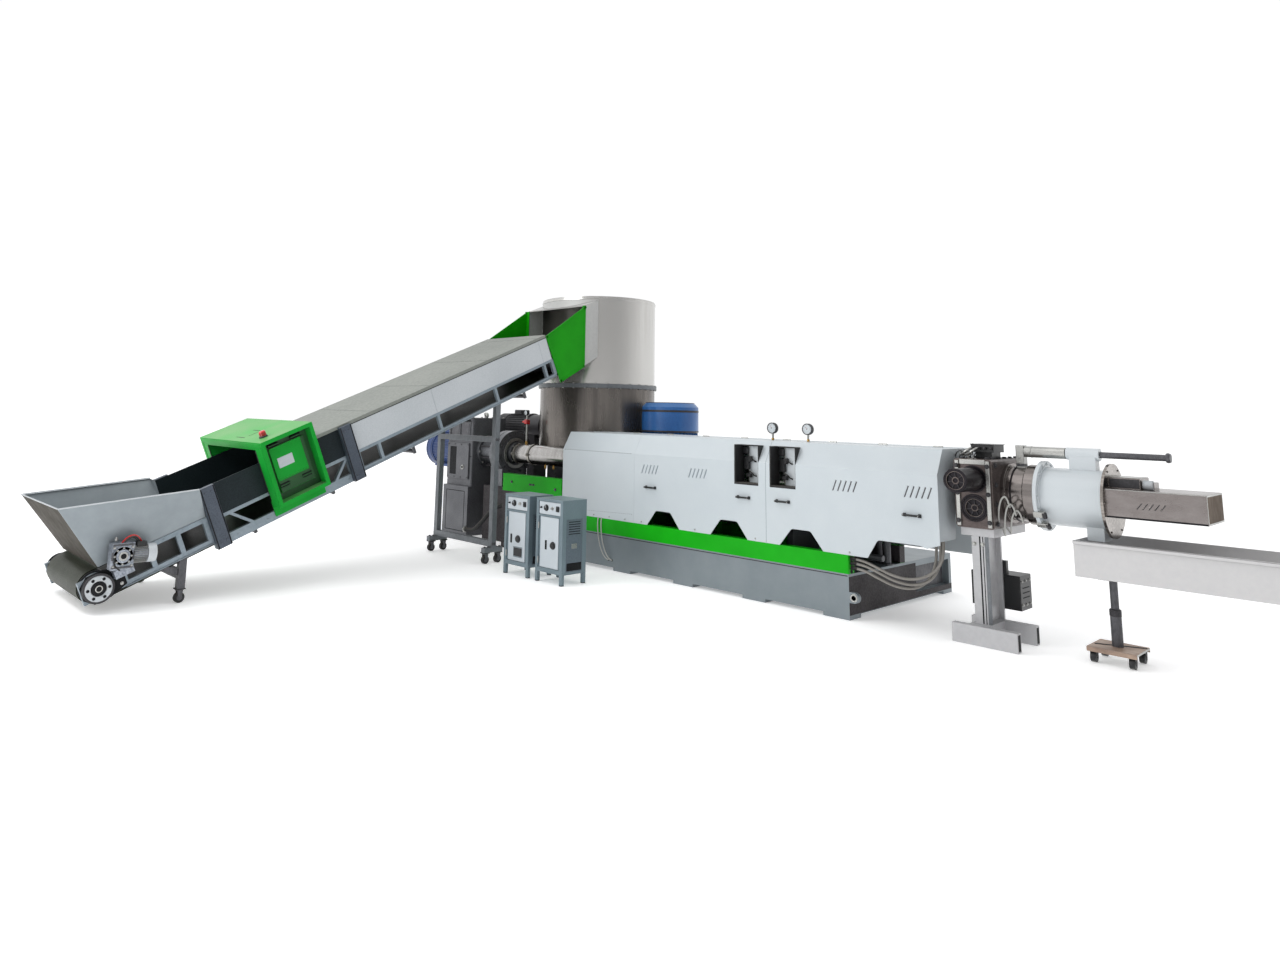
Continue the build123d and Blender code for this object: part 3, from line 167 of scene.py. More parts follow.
def slab(x0, x1, y0, y1, z0, z1, edge=0.002):
    # rings of a rectangle with cut corners, drawn in by edge at the bottom and the top
    e = min(edge, abs(x1 - x0) / 3, abs(y1 - y0) / 3, abs(z1 - z0) / 3)
    halfX, halfY = abs(x1 - x0) / 2, abs(y1 - y0) / 2
    z0, z1 = min(z0, z1), max(z0, z1)
    rings = []
    for z, inset in ((z0, e), (z0 + e, 0), (z1 - e, 0), (z1, e)):
        a, b, c, d = halfX - inset, halfY - e, halfX - e, halfY - inset
        rings.append([(a, -b, z), (a, b, z), (c, d, z), (-c, d, z), (-a, b, z), (-a, -b, z), (-c, -d, z),
                      (c, -d, z)])
    points = np.array(rings) + np.array([(x0 + x1) / 2, (y0 + y1) / 2, 0])
    return gridShape(points, wrapAcross=True)


def prism(outline, low, high, edge=0.0):
    # a flat outline (x, y) carried from z = low to z = high, drawn in by edge at both ends
    outline = np.array(outline, float)
    centre = outline.mean(0)
    if edge:
        reach = np.linalg.norm(outline - centre, axis=1, keepdims=True)
        small = centre + (outline - centre) * (1 - edge / reach)
        rings = [(small, low), (outline, low + edge), (outline, high - edge), (small, high)]
    else:
        rings = [(outline, low), (outline, high)]
    points = np.stack([np.column_stack([flat, np.full(len(flat), z)]) for flat, z in rings])
    return gridShape(points, wrapAcross=True)


def smoothPath(route, steps=10):
    # a uniform B-spline through the middle of the route, held at both ends
    route = np.array(route, float)
    route = np.vstack([2 * route[0] - route[1], route, 2 * route[-1] - route[-2]])
    t = np.linspace(0, 1, steps, endpoint=False)[:, None]
    weights = ((1 - t) ** 3, 3 * t ** 3 - 6 * t ** 2 + 4, -3 * t ** 3 + 3 * t ** 2 + 3 * t + 1, t ** 3)
    pieces = [sum(w * route[i + k] for k, w in enumerate(weights)) / 6 for i in range(len(route) - 3)]
    return np.vstack(pieces + [route[-2][None]])


def tube(route, radius, sides=10, smooth=True, steps=8):
    # a circle carried along the route, square to it, without twist
    path = smoothPath(route, steps) if smooth else np.array(route, float)
    ahead = np.gradient(path, axis=0)
    ahead /= np.linalg.norm(ahead, axis=1, keepdims=True)
    side = np.cross(ahead[0], (0, 0, 1.0) if abs(ahead[0][2]) < 0.9 else (1.0, 0, 0))
    sideways = []
    for direction in ahead:
        side = side - direction * (side @ direction)
        side = side / np.linalg.norm(side)
        sideways.append(side)
    sideways = np.array(sideways)
    across = np.cross(ahead, sideways)
    angles = np.arange(sides) * 2 * pi / sides
    radii = np.broadcast_to(np.array(radius, float), (len(path),))[:, None, None]
    points = path[:, None] + radii * (sideways[:, None] * np.cos(angles)[:, None]
                                      + across[:, None] * np.sin(angles)[:, None])
    return gridShape(points, wrapAcross=True)


def boltHead(way, size=0.01, washer=True):
    # a six-sided head with an eased top, on its washer, standing on the origin along way
    hexagon = [(size * cos(k * pi / 3), size * sin(k * pi / 3)) for k in range(6)]
    start = size * 0.25 if washer else 0
    parts = [prism(hexagon, start, start + size * 0.75, edge=size * 0.12)]
    if washer:
        parts.append(disc(size * 1.35, 0, size * 0.25, steps=12, edge=size * 0.05))
    return placed(joined(parts), (0, 0, 0), axesFor[way])


def boltCircle(way, place, radius, count, size, start=0.0, washer=True):
    # heads at equal angles round the axis
    axes = np.array(axesFor[way], float)
    angles = start + np.arange(count) * 2 * pi / count
    places = np.array(place, float) + radius * (np.cos(angles)[:, None] * axes[0]
                                                + np.sin(angles)[:, None] * axes[1])
    return repeated(boltHead(way, size, washer), places)


def boltRow(way, start, end, count, size=0.009, washer=True):
    return repeated(boltHead(way, size, washer), np.linspace(start, end, count))


def ribs(way, place, inner, outer, low, high, count, thick=0.005, start=0.0, sweep=2 * pi):
    # flat ribs standing out from an axis, from the inner to the outer radius
    shapes = []
    for k in range(count):
        angle = start + k * sweep / count
        turn = [[cos(angle), sin(angle), 0], [-sin(angle), cos(angle), 0], [0, 0, 1]]
        shapes.append(placed(slab(inner, outer, -thick / 2, thick / 2, low, high, thick / 4), (0, 0, 0), turn))
    return placed(joined(shapes), place, axesFor[way])


def fitting(way, size, length):
    # a hexagon nut between two collars, standing on the origin
    hexagon = [(size * cos(k * pi / 3), size * sin(k * pi / 3)) for k in range(6)]
    parts = [disc(size * 0.85, 0, length * 0.3, steps=16),
             prism(hexagon, length * 0.3, length * 0.7, size * 0.1),
             disc(size * 0.7, length * 0.7, length, steps=16)]
    return placed(joined(parts), (0, 0, 0), axesFor[way])


def plank(start, end, wide, thick, up):
    # a flat bar from start to end, its width towards up
    start, end, up = (np.array(value, float) for value in (start, end, up))
    ahead = (end - start) / np.linalg.norm(end - start)
    up = up - ahead * (ahead @ up)
    up = up / np.linalg.norm(up)
    length = np.linalg.norm(end - start)
    return placed(slab(0, length, 0, wide, -thick / 2, thick / 2, thick / 4), start,
                  [ahead, up, np.cross(ahead, up)])


def liftingEye(radius, place):
    # a round eye about 40 mm thick, its hole along y
    profile = [(0.012, 0), (radius - 0.006, 0.006), (radius, 0.02), (radius - 0.006, 0.034), (0.012, 0.04)]
    return turned(profile, "y", place, 24, wrap=True)


def flatFrame(x0, x1, z0, z1, y0, y1, wide, edge=0.0015):
    # a rectangular frame in the X-Z plane
    return joined([slab(x0, x1, y0, y1, z0, z0 + wide, edge), slab(x0, x1, y0, y1, z1 - wide, z1, edge),
                   slab(x0, x0 + wide, y0, y1, z0 + wide, z1 - wide, edge),
                   slab(x1 - wide, x1, y0, y1, z0 + wide, z1 - wide, edge)])


# --- materials
def screenColour(red, green, blue):
    # screen values 0 to 255 to linear light
    values = np.array([red, green, blue]) / 255
    linear = np.where(values < 0.04045, values / 12.92, ((values + 0.055) / 1.055) ** 2.4)
    return (*linear.tolist(), 1.0)


def addNode(tree, kind, inputs=None, **settings):
    node = tree.nodes.new("ShaderNode" + kind)
    for key, value in settings.items():
        setattr(node, key, value)
    for key, value in (inputs or {}).items():
        if isinstance(value, bpy.types.NodeSocket):
            tree.links.new(value, node.inputs[key])
        else:
            node.inputs[key].default_value = value
    return node


def mixColours(tree, factor, first, second):
    mix = addNode(tree, "Mix", data_type="RGBA")
    for key, value in ((0, factor), (6, first), (7, second)):
        if isinstance(value, bpy.types.NodeSocket):
            tree.links.new(value, mix.inputs[key])
        else:
            mix.inputs[key].default_value = value
    return mix.outputs[2]


def remap(tree, value, low, high, newLow, newHigh):
    return addNode(tree, "MapRange", {0: value, 1: low, 2: high, 3: newLow, 4: newHigh}).outputs[0]


surfaceStyle = {"edgeSize": 0.004, "edgeSamples": 4, "edgeShow": 0.35}


def makeFinish(name, base, shade, metal=0.0, rough=(0.4, 0.6), grain=60, bump=0.05, patch=3.0,
               upwardTint=0.0, upwardColour=(150, 140, 125), coat=0.0, edge=None, wearAndHighlight=None, sheen=0.5, detail=6,
               paintedUnderShade=None):
    # colour patches over a grain, a tint on upward faces, eased edges with a lighter rim (partly worn paint,
    # partly painted highlight), painted shade on downward faces
    material = bpy.data.materials.new(name)
    material.use_nodes = True
    tree = material.node_tree
    shader = tree.nodes["Principled BSDF"]
    objectPlace = addNode(tree, "TexCoord").outputs["Object"]
    grain = np.broadcast_to(grain, 3).tolist()
    stretched = addNode(tree, "Mapping", {"Vector": objectPlace, "Scale": grain}).outputs[0]
    fine = addNode(tree, "TexNoise", {"Vector": stretched, "Scale": 1.0, "Detail": detail,
                                      "Roughness": 0.6}).outputs[0]
    broad = addNode(tree, "TexNoise", {"Vector": objectPlace, "Scale": patch, "Detail": 3.0}).outputs[0]
    both = addNode(tree, "Math",
                   {0: remap(tree, broad, 0.3, 0.7, 0, 1), 1: remap(tree, fine, 0.35, 0.65, 0, 1)},
                   operation="ADD").outputs[0]
    colour = mixColours(tree, remap(tree, both, 0.3, 1.7, 0, 1), screenColour(*base), screenColour(*shade))
    facing = addNode(tree, "NewGeometry")
    eased = addNode(tree, "Bevel", {"Radius": edge or surfaceStyle["edgeSize"]},
                    samples=surfaceStyle["edgeSamples"])
    # the lighter rim on eased edges is partly worn paint and partly painted highlight
    if wearAndHighlight:
        turn = addNode(tree, "VectorMath", {0: eased.outputs[0], 1: facing.outputs["Normal"]},
                       operation="DOT_PRODUCT").outputs["Value"]
        rim = remap(tree, turn, 0.995, 0.9, 0, surfaceStyle["edgeShow"])
        rimWearAndHighlight = addNode(tree, "Math", {0: rim, 1: remap(tree, fine, 0.35, 0.6, 0.3, 1.0)},
                         operation="MULTIPLY").outputs[0]
        colour = mixColours(tree, rimWearAndHighlight, colour, screenColour(*wearAndHighlight))
    # a tint mixed in on upward faces, patchy with the broad noise
    if upwardTint:
        upward = addNode(tree, "SeparateXYZ", {0: facing.outputs["Normal"]}).outputs[2]
        upwardMix = addNode(tree, "Math", {0: remap(tree, upward, 0.2, 0.95, 0, upwardTint),
                                         1: remap(tree, broad, 0.25, 0.65, 0.2, 1.0)},
                          operation="MULTIPLY").outputs[0]
        colour = mixColours(tree, upwardMix, colour, screenColour(*upwardColour))
    # painted shade: downward faces are mixed towards a dark colour
    if paintedUnderShade:
        down = addNode(tree, "SeparateXYZ", {0: facing.outputs["Normal"]}).outputs[2]
        colour = mixColours(tree, remap(tree, down, 0.1, -0.8, 0, 0.9), colour, screenColour(*paintedUnderShade))
    tree.links.new(colour, shader.inputs["Base Color"])
    tree.links.new(remap(tree, both, 0.2, 1.8, *rough), shader.inputs["Roughness"])
    relief = addNode(tree, "Bump", {"Height": fine, "Strength": bump, "Distance": 0.002,
                                    "Normal": eased.outputs[0]})
    tree.links.new(relief.outputs[0], shader.inputs["Normal"])
    shader.inputs["Metallic"].default_value = metal
    shader.inputs["Specular IOR Level"].default_value = sheen
    if coat:
        shader.inputs["Coat Weight"].default_value = coat
        shader.inputs["Coat Roughness"].default_value = 0.15
    return material


finishes = {
    "housingPaint": dict(base=(195, 202, 206), shade=(188, 196, 201), rough=(0.3, 0.42), grain=260,
                         bump=0.012, coat=0.1, wearAndHighlight=(220, 225, 228)),
    "basePaint": dict(base=(128, 136, 141), shade=(118, 127, 132), metal=0.35, rough=(0.36, 0.44), patch=0.4,
                      grain=4, bump=0.004, wearAndHighlight=(164, 170, 174)),
    "baseDark": dict(base=(62, 58, 60), shade=(46, 43, 45), metal=0.2, rough=(0.45, 0.65), bump=0.04, sheen=0.2),
    "railGreen": dict(base=(22, 172, 20), shade=(12, 152, 10), rough=(0.3, 0.42), bump=0.02, sheen=0.15,
                      grain=200, wearAndHighlight=(60, 190, 60)),
    "detectorGreen": dict(base=(26, 158, 54), shade=(16, 138, 42), rough=(0.34, 0.46), bump=0.02, sheen=0.12,
                          grain=220, upwardTint=0.55, upwardColour=(140, 172, 128), wearAndHighlight=(70, 175, 90)),
    # a darker copy of the detector green, painted shade in the side recess and round the door
    "shadedGreen": dict(base=(16, 84, 30), shade=(8, 58, 20), rough=(0.4, 0.55), bump=0.03,
                        grain=200),
    "wingGreen": dict(base=(22, 152, 8), shade=(12, 130, 3), rough=(0.3, 0.4), bump=0.02, sheen=0.12,
                      grain=180, wearAndHighlight=(50, 170, 40)),
    "vesselSteel": dict(base=(206, 205, 202), shade=(196, 194, 191), metal=0.9, rough=(0.2, 0.27), patch=0.6,
                        grain=(14, 14, 0.6), bump=0.003, edge=0.003),
    "hopperSteel": dict(base=(144, 152, 157), shade=(136, 144, 149), metal=0.25, rough=(0.4, 0.5), patch=0.6,
                        grain=10, bump=0.004, wearAndHighlight=(200, 204, 207)),
    "polishedSteel": dict(base=(168, 162, 156), shade=(120, 114, 110), metal=1.0, rough=(0.14, 0.28), patch=3.0,
                          grain=(6, 60, 60), bump=0.015, edge=0.003),
    # the barrel's darker downward faces are painted shade
    "barrelSteel": dict(base=(190, 188, 186), shade=(168, 165, 162), metal=0.9, rough=(0.16, 0.26), patch=2.0,
                        grain=(20, 3, 3), bump=0.005, paintedUnderShade=(34, 32, 32)),
    "framePaint": dict(base=(140, 152, 161), shade=(126, 138, 147), metal=0.25, rough=(0.38, 0.5), bump=0.02,
                       grain=40, upwardTint=0.15, wearAndHighlight=(180, 188, 194)),
    "postPaint": dict(base=(78, 86, 98), shade=(60, 67, 78), metal=0.25, rough=(0.36, 0.5), bump=0.03,
                      grain=90, wearAndHighlight=(110, 118, 128)),
    "standPaint": dict(base=(186, 186, 188), shade=(178, 178, 180), metal=0.3, rough=(0.38, 0.48), bump=0.02,
                       grain=30, wearAndHighlight=(212, 212, 213)),
    "charcoalPanel": dict(base=(32, 42, 46), shade=(20, 28, 32), metal=0.1, rough=(0.4, 0.55), bump=0.02,
                          sheen=0.2, grain=110, wearAndHighlight=(60, 72, 76)),
    "panelGrey": dict(base=(196, 200, 204), shade=(182, 187, 191), metal=0.15, rough=(0.36, 0.5), patch=1.0,
                      grain=90, bump=0.02, wearAndHighlight=(222, 224, 226)),
    "lidBeige": dict(base=(134, 137, 131), shade=(124, 128, 123), metal=0.1, rough=(0.42, 0.55), patch=0.8,
                     grain=30, bump=0.02, sheen=0.3),
    "motorBlue": dict(base=(34, 104, 172), shade=(24, 82, 146), rough=(0.28, 0.45), bump=0.05, coat=0.2,
                      grain=160, upwardTint=0.35, upwardColour=(110, 150, 190), wearAndHighlight=(90, 150, 200)),
    "castIron": dict(base=(98, 99, 103), shade=(78, 79, 83), metal=0.3, rough=(0.42, 0.55), bump=0.05,
                     grain=90, wearAndHighlight=(140, 140, 142)),
    "darkIron": dict(base=(66, 65, 68), shade=(46, 45, 48), metal=0.4, rough=(0.4, 0.55), bump=0.08,
                     grain=90, wearAndHighlight=(105, 104, 105)),
    "changerSteel": dict(base=(98, 88, 86), shade=(70, 62, 61), metal=0.6, rough=(0.26, 0.42), patch=4.0,
                         grain=(20, 20, 60), bump=0.03, wearAndHighlight=(200, 190, 178)),
    "pistonDark": dict(base=(48, 44, 48), shade=(26, 24, 28), metal=0.6, rough=(0.24, 0.4), patch=9.0, sheen=0.3,
                       grain=140, bump=0.05),
    "pelletWhite": dict(base=(206, 212, 216), shade=(196, 203, 207), rough=(0.22, 0.34), bump=0.01, coat=0.35,
                        grain=240, wearAndHighlight=(232, 235, 237)),
    "troughSteel": dict(base=(202, 201, 201), shade=(197, 196, 197), metal=0.1, rough=(0.38, 0.46), patch=0.6,
                        grain=30, bump=0.006, wearAndHighlight=(226, 226, 226)),
    "cabinetBlue": dict(base=(116, 132, 140), shade=(100, 116, 124), metal=0.2, rough=(0.32, 0.46), bump=0.03,
                        grain=180, upwardTint=0.3, upwardColour=(150, 180, 172), wearAndHighlight=(160, 170, 178)),
    # painted shade for the cabinets' right sides
    "cabinetShade": dict(base=(98, 110, 120), shade=(84, 96, 106), metal=0.2, rough=(0.36, 0.5), bump=0.02,
                         grain=60),
    "cabinetPale": dict(base=(190, 197, 203), shade=(178, 186, 192), rough=(0.3, 0.42), bump=0.02, coat=0.1,
                        grain=240),
    "rubberBlack": dict(base=(34, 34, 35), shade=(22, 22, 23), rough=(0.55, 0.75), bump=0.15,
                        grain=220, upwardTint=0.25, wearAndHighlight=(70, 70, 70)),
    "plasticBlack": dict(base=(28, 29, 31), shade=(20, 21, 23), rough=(0.3, 0.45), bump=0.08,
                         grain=420),
    "beltRubber": dict(base=(50, 56, 40), shade=(30, 34, 24), rough=(0.4, 0.55), bump=0.2, patch=2.0, sheen=0.25,
                       grain=220),
    "zincSteel": dict(base=(188, 188, 184), shade=(150, 150, 148), metal=0.95, rough=(0.22, 0.4), bump=0.05,
                      grain=300),
    "brassFitting": dict(base=(196, 158, 92), shade=(160, 122, 64), metal=1.0, rough=(0.2, 0.35), bump=0.04,
                         grain=200),
    "signalRed": dict(base=(205, 22, 24), shade=(178, 12, 16), rough=(0.12, 0.22), bump=0.02, coat=0.5,
                      grain=120),
    "cableGrey": dict(base=(150, 146, 140), shade=(122, 118, 113), rough=(0.42, 0.58), bump=0.12,
                      grain=500),
    "hoseWhite": dict(base=(190, 190, 186), shade=(166, 166, 162), rough=(0.36, 0.5), bump=0.08,
                      grain=400),
    "insideDark": dict(base=(30, 31, 34), shade=(18, 19, 21), rough=(0.5, 0.7), bump=0.05, sheen=0.15),
    "plateBrown": dict(base=(176, 152, 134), shade=(140, 118, 104), metal=0.1, rough=(0.45, 0.62), bump=0.05,
                       grain=(12, 90, 12), patch=8.0, wearAndHighlight=(196, 176, 160)),
    "ringSteel": dict(base=(132, 126, 123), shade=(112, 106, 104), metal=1.0, rough=(0.14, 0.22), patch=2.0,
                      grain=(6, 30, 30), bump=0.005, wearAndHighlight=(215, 210, 205)),
    "boxSteel": dict(base=(140, 134, 132), shade=(126, 119, 117), metal=0.85, rough=(0.2, 0.3), patch=1.5,
                     grain=(8, 20, 20), bump=0.005, wearAndHighlight=(222, 214, 206)),
    "standDark": dict(base=(92, 92, 96), shade=(68, 68, 72), metal=0.35, rough=(0.36, 0.52), bump=0.05,
                      grain=(70, 70, 30), wearAndHighlight=(130, 130, 132)),
    # the flange's darker downward faces are painted shade
    "flangeGrey": dict(base=(120, 122, 126), shade=(92, 94, 98), metal=0.6, rough=(0.28, 0.42), bump=0.04,
                       grain=60, wearAndHighlight=(170, 170, 172), paintedUnderShade=(40, 41, 44)),
    # the lower shell: a darker copy of the vessel steel with vertical streaks, painted shade and painted
    # reflection
    "lowerShadedSteel": dict(base=(128, 122, 117), shade=(96, 92, 89), metal=0.75, rough=(0.22, 0.32), patch=1.2,
                       grain=(9, 9, 0.3), bump=0.003),
    "hoodSteel": dict(base=(188, 188, 186), shade=(178, 178, 177), metal=0.1, rough=(0.4, 0.5), patch=0.8,
                      grain=30, bump=0.008),
    "standGrey": dict(base=(116, 120, 124), shade=(98, 102, 106), metal=0.3, rough=(0.36, 0.5), bump=0.03,
                      grain=(70, 70, 30), wearAndHighlight=(150, 152, 154)),
    "motorNavy": dict(base=(40, 68, 122), shade=(28, 50, 96), rough=(0.3, 0.42), bump=0.05,
                      grain=160, wearAndHighlight=(90, 112, 150)),
    "gearSilver": dict(base=(168, 174, 184), shade=(112, 118, 128), metal=0.5, rough=(0.3, 0.45), patch=10.0,
                       bump=0.06, grain=60, wearAndHighlight=(210, 214, 220)),
    # painted shade for the cutter box's end face
    "endShadeBrown": dict(base=(112, 97, 82), shade=(88, 75, 62), rough=(0.5, 0.65), bump=0.03, sheen=0.1,
                     grain=(12, 60, 12), patch=6.0),
    # painted shade for the hopper's end plate, which faces down and away from the light
    "hopperShade": dict(base=(84, 80, 74), shade=(70, 67, 62), rough=(0.6, 0.75), bump=0.01, sheen=0.05,
                        grain=10, patch=1.0),
    "heaterBand": dict(base=(176, 172, 164), shade=(138, 134, 128), metal=0.9, rough=(0.24, 0.42), bump=0.08,
                       grain=(160, 12, 12)),
}
materials = {name: makeFinish(name, **settings) for name, settings in finishes.items()}
print("materials made")

# the nodes of each finish
nodeFinishes = {
    "housingPaint": "front_cover_left front_cover_right rear_cover cover_ends", "basePaint": "base_frame",
    # feed_base takes the dark finish as painted shade
    "baseDark": "feed_base", "railGreen": "green_rails", "detectorGreen": "detector_tunnel detector_door",
    "wingGreen": "chute_wings", "vesselSteel": "compactor_upper_shell compactor_roof",
    # the lower shell's darker steel is painted shade and painted reflection
    "lowerShadedSteel": "compactor_lower_shell", "hoodSteel": "feed_hood",
    "standGrey": "compactor_ring conveyor_stand", "motorNavy": "main_motor", "hopperSteel": "conveyor_hopper",
    "polishedSteel": "end_disc", "boxSteel": "cutter_box", "ringSteel": "water_ring", "barrelSteel": "barrel",
    "framePaint": "lower_frame upper_frame", "postPaint": "conveyor_posts", "standPaint": "changer_stand",
    "standDark": "tail_legs guide_rod", "gearSilver": "tail_gearmotor", "charcoalPanel": "detector_side_panels",
    "panelGrey": "upper_side_panels", "lidBeige": "belt_cover", "motorBlue": "compactor_motor",
    "castIron": "gearbox barrel_saddles compactor_legs", "flangeGrey": "feed_flange",
    "darkIron": "side_motor compactor_floor piston_jacks belt_bed belt_drums", "changerSteel": "screen_changer",
    "pistonDark": "upper_piston lower_piston", "pelletWhite": "pelletizer_hood", "troughSteel": "outlet_trough",
    "zincSteel": "trough_stands pressure_gauges", "cabinetBlue": "control_cabinet_left control_cabinet_right",
    "plasticBlack": "cover_handles hydraulic_pack", "rubberBlack": "conveyor_casters",
    "beltRubber": "conveyor_belt", "signalRed": "beacon",
}


def dressNodes():
    for finish, members in nodeFinishes.items():
        for member in members.split():
            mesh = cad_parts[member].data
            mesh.materials.clear()
            mesh.materials.append(materials[finish])


dressNodes()
print("carried-over nodes dressed")


def makePiece(name, parts, body="line", replaces=(), sharp=32, slopes=False):
    # parts is a list of (shape, finish); points that meet are merged and faces turned outwards
    points, faces = joined([onSlope(shape) if slopes else shape for shape, _ in parts])
    mesh = bpy.data.meshes.new(name)
    mesh.from_pydata(points, [], faces)
    order = []
    for _, finish in parts:
        if finish not in order:
            order.append(finish)
            mesh.materials.append(materials[finish])
    index = np.concatenate([np.full(len(shape[1]), order.index(finish)) for shape, finish in parts])
    mesh.polygons.foreach_set("material_index", index.astype(np.int32))
    work = bmesh.new()
    work.from_mesh(mesh)
    bmesh.ops.remove_doubles(work, verts=work.verts, dist=1e-6)
    bmesh.ops.recalc_face_normals(work, faces=work.faces)
    work.to_mesh(mesh)
    work.free()
    mesh.shade_smooth()
    mesh.set_sharp_from_angle(angle=radians(sharp))
    piece = bpy.data.objects.new(name, mesh)
    bpy.context.scene.collection.objects.link(piece)
    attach(piece, body)
    for node in replaces:
        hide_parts(node)
    return piece


# --- free cables and the drive hose: each route goes from endX or feedLeft, frontY and the floor
feedLeft = beltX - 0.29
cable = {"startX": endX, "radius": 0.011, "finish": "cableGrey", "slot": "cable_grey"}
cordTrim = {
    "cable_1": {**cable, "length": 0.971,
                "route": ((0.0003, 0.042, 0.478), (0.095, 0.042, 0.478), (0.205, 0.056, 0.44), (0.33, 0.09, 0.385),
                          (0.455, 0.138, 0.366), (0.575, 0.186, 0.405), (0.668, 0.216, 0.5), (0.69, 0.22, 0.62),
                          (0.69, 0.22, 0.7197))},
    "cable_2": {**cable, "length": 1.002,
                "route": ((0.0003, 0.046, 0.442), (0.105, 0.046, 0.442), (0.22, 0.066, 0.398),
                          (0.345, 0.112, 0.338), (0.475, 0.172, 0.322), (0.58, 0.22, 0.37), (0.642, 0.24, 0.48),
                          (0.655, 0.244, 0.6), (0.655, 0.244, 0.7197))},
    "cable_3": {**cable, "length": 0.996,
                "route": ((0.0003, 0.05, 0.404), (0.1, 0.05, 0.404), (0.21, 0.078, 0.352), (0.335, 0.13, 0.296),
                          (0.455, 0.194, 0.29), (0.545, 0.244, 0.355), (0.598, 0.266, 0.478), (0.61, 0.27, 0.6),
                          (0.61, 0.27, 0.7197))},
    "drive_hose": {"startX": feedLeft, "radius": 0.025, "length": 1.044, "finish": "rubberBlack",
                   "slot": "hose_black", "wavePitch": 0.011, "waveDepth": 0.07,
                   "route": ((-0.0003, 0.125, 0.47), (-0.18, 0.125, 0.47), (-0.36, 0.105, 0.375),
                             (-0.51, 0.1, 0.235), (-0.67, 0.11, 0.125), (-0.79, 0.135, 0.09),
                             (-0.9297, 0.135, 0.09))},
}


def routeLine(name, route):
    # the order and the end points are set after the points are in
    curve = bpy.data.curves.new(name, "CURVE")
    curve.dimensions = "3D"
    spline = curve.splines.new("NURBS")
    spline.points.add(len(route) - 1)
    spline.points.foreach_set("co", np.column_stack([route, np.ones(len(route))]).ravel())
    spline.order_u = 3
    spline.use_endpoint_u = True
    spline.resolution_u = 12
    return bpy.data.objects.new(name, curve)


def wavyHose(name, route, s):
    # rings of the line's own points, spaced by the pitch, with the radius in and out by turns
    line = routeLine(name + "_line", route)
    flat = bpy.data.meshes.new_from_object(line)
    path = np.array([point.co[:] for point in flat.vertices])
    bpy.data.objects.remove(line)
    reach = np.concatenate([[0], np.cumsum(np.linalg.norm(np.diff(path, axis=0), axis=1))])
    marks = np.linspace(0, reach[-1], int(reach[-1] / s["wavePitch"]) * 2)
    even = np.stack([np.interp(marks, reach, path[:, k]) for k in range(3)], -1)
    radii = s["radius"] * (1 + s["waveDepth"] * np.where(np.arange(len(even)) % 2, 1, -1))
    return path, tube(even, radii, 20, smooth=False)


def makeCord(name, s):
    route = np.array(s["route"]) + (s["startX"], frontY, 0)
    side = 1 if route[1][0] > route[0][0] else -1
    radius, exit = s["radius"], route[0]
    profile = [(radius * 1.05, 0.0), (radius * 1.75, 0.0), (radius * 1.75, 0.006), (radius * 1.45, 0.008),
               (radius * 1.3, 0.03), (radius * 1.12, 0.05), (radius * 1.05, 0.05)]
    sleeve = turned(profile, "x" if side > 0 else "-x", (exit[0] + side * 0.0005, exit[1], exit[2]), 28,
                    wrap=True)
    relief = makePiece(name + "_relief", [(sleeve, "rubberBlack")])
    nut = fitting("-z" if side > 0 else "x", radius * 1.7, 0.024)
    gland = makePiece(name + "_gland", [(placed(nut, route[-1]), "zincSteel")])
    if "wavePitch" in s:
        path, shape = wavyHose(name, route, s)
        cord = makePiece(name + "_cord", [(shape, s["finish"])], replaces=[name])
        return
    cord = routeLine(name + "_cord", route)
    cord.data.bevel_depth, cord.data.bevel_resolution, cord.data.use_fill_caps = radius, 6, True
    cord.data.materials.append(materials[s["finish"]])
    bpy.context.scene.collection.objects.link(cord)
    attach(cord, "line")
    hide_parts(name)


for cordName, cordValues in cordTrim.items():
    makeCord(cordName, cordValues)
print("cords laid")

# --- conveyor: rails, lid, panels and rollers
conveyorTrim = {"half": 0.55, "lidStart": 1.97, "lidEnd": 4.988, "lidTop": 0.4003, "panelStart": 2.352,
                "seams": (2.62, 3.32, 4.1, 4.86), "rollers": (1.25, 2.02, 2.95, 3.72, 4.48),
                "rollerRadius": 0.022, "posts": (0.96, 2.29),
                "rails": ((-0.104, -0.096, 2.352, 4.99), (-0.094, -0.087, 0.19, 0.895)),
                "boltRows": ((2.5, 4.9, 0.093), (1.1, 2.2, -0.11), (0.25, 0.85, 0.125))}


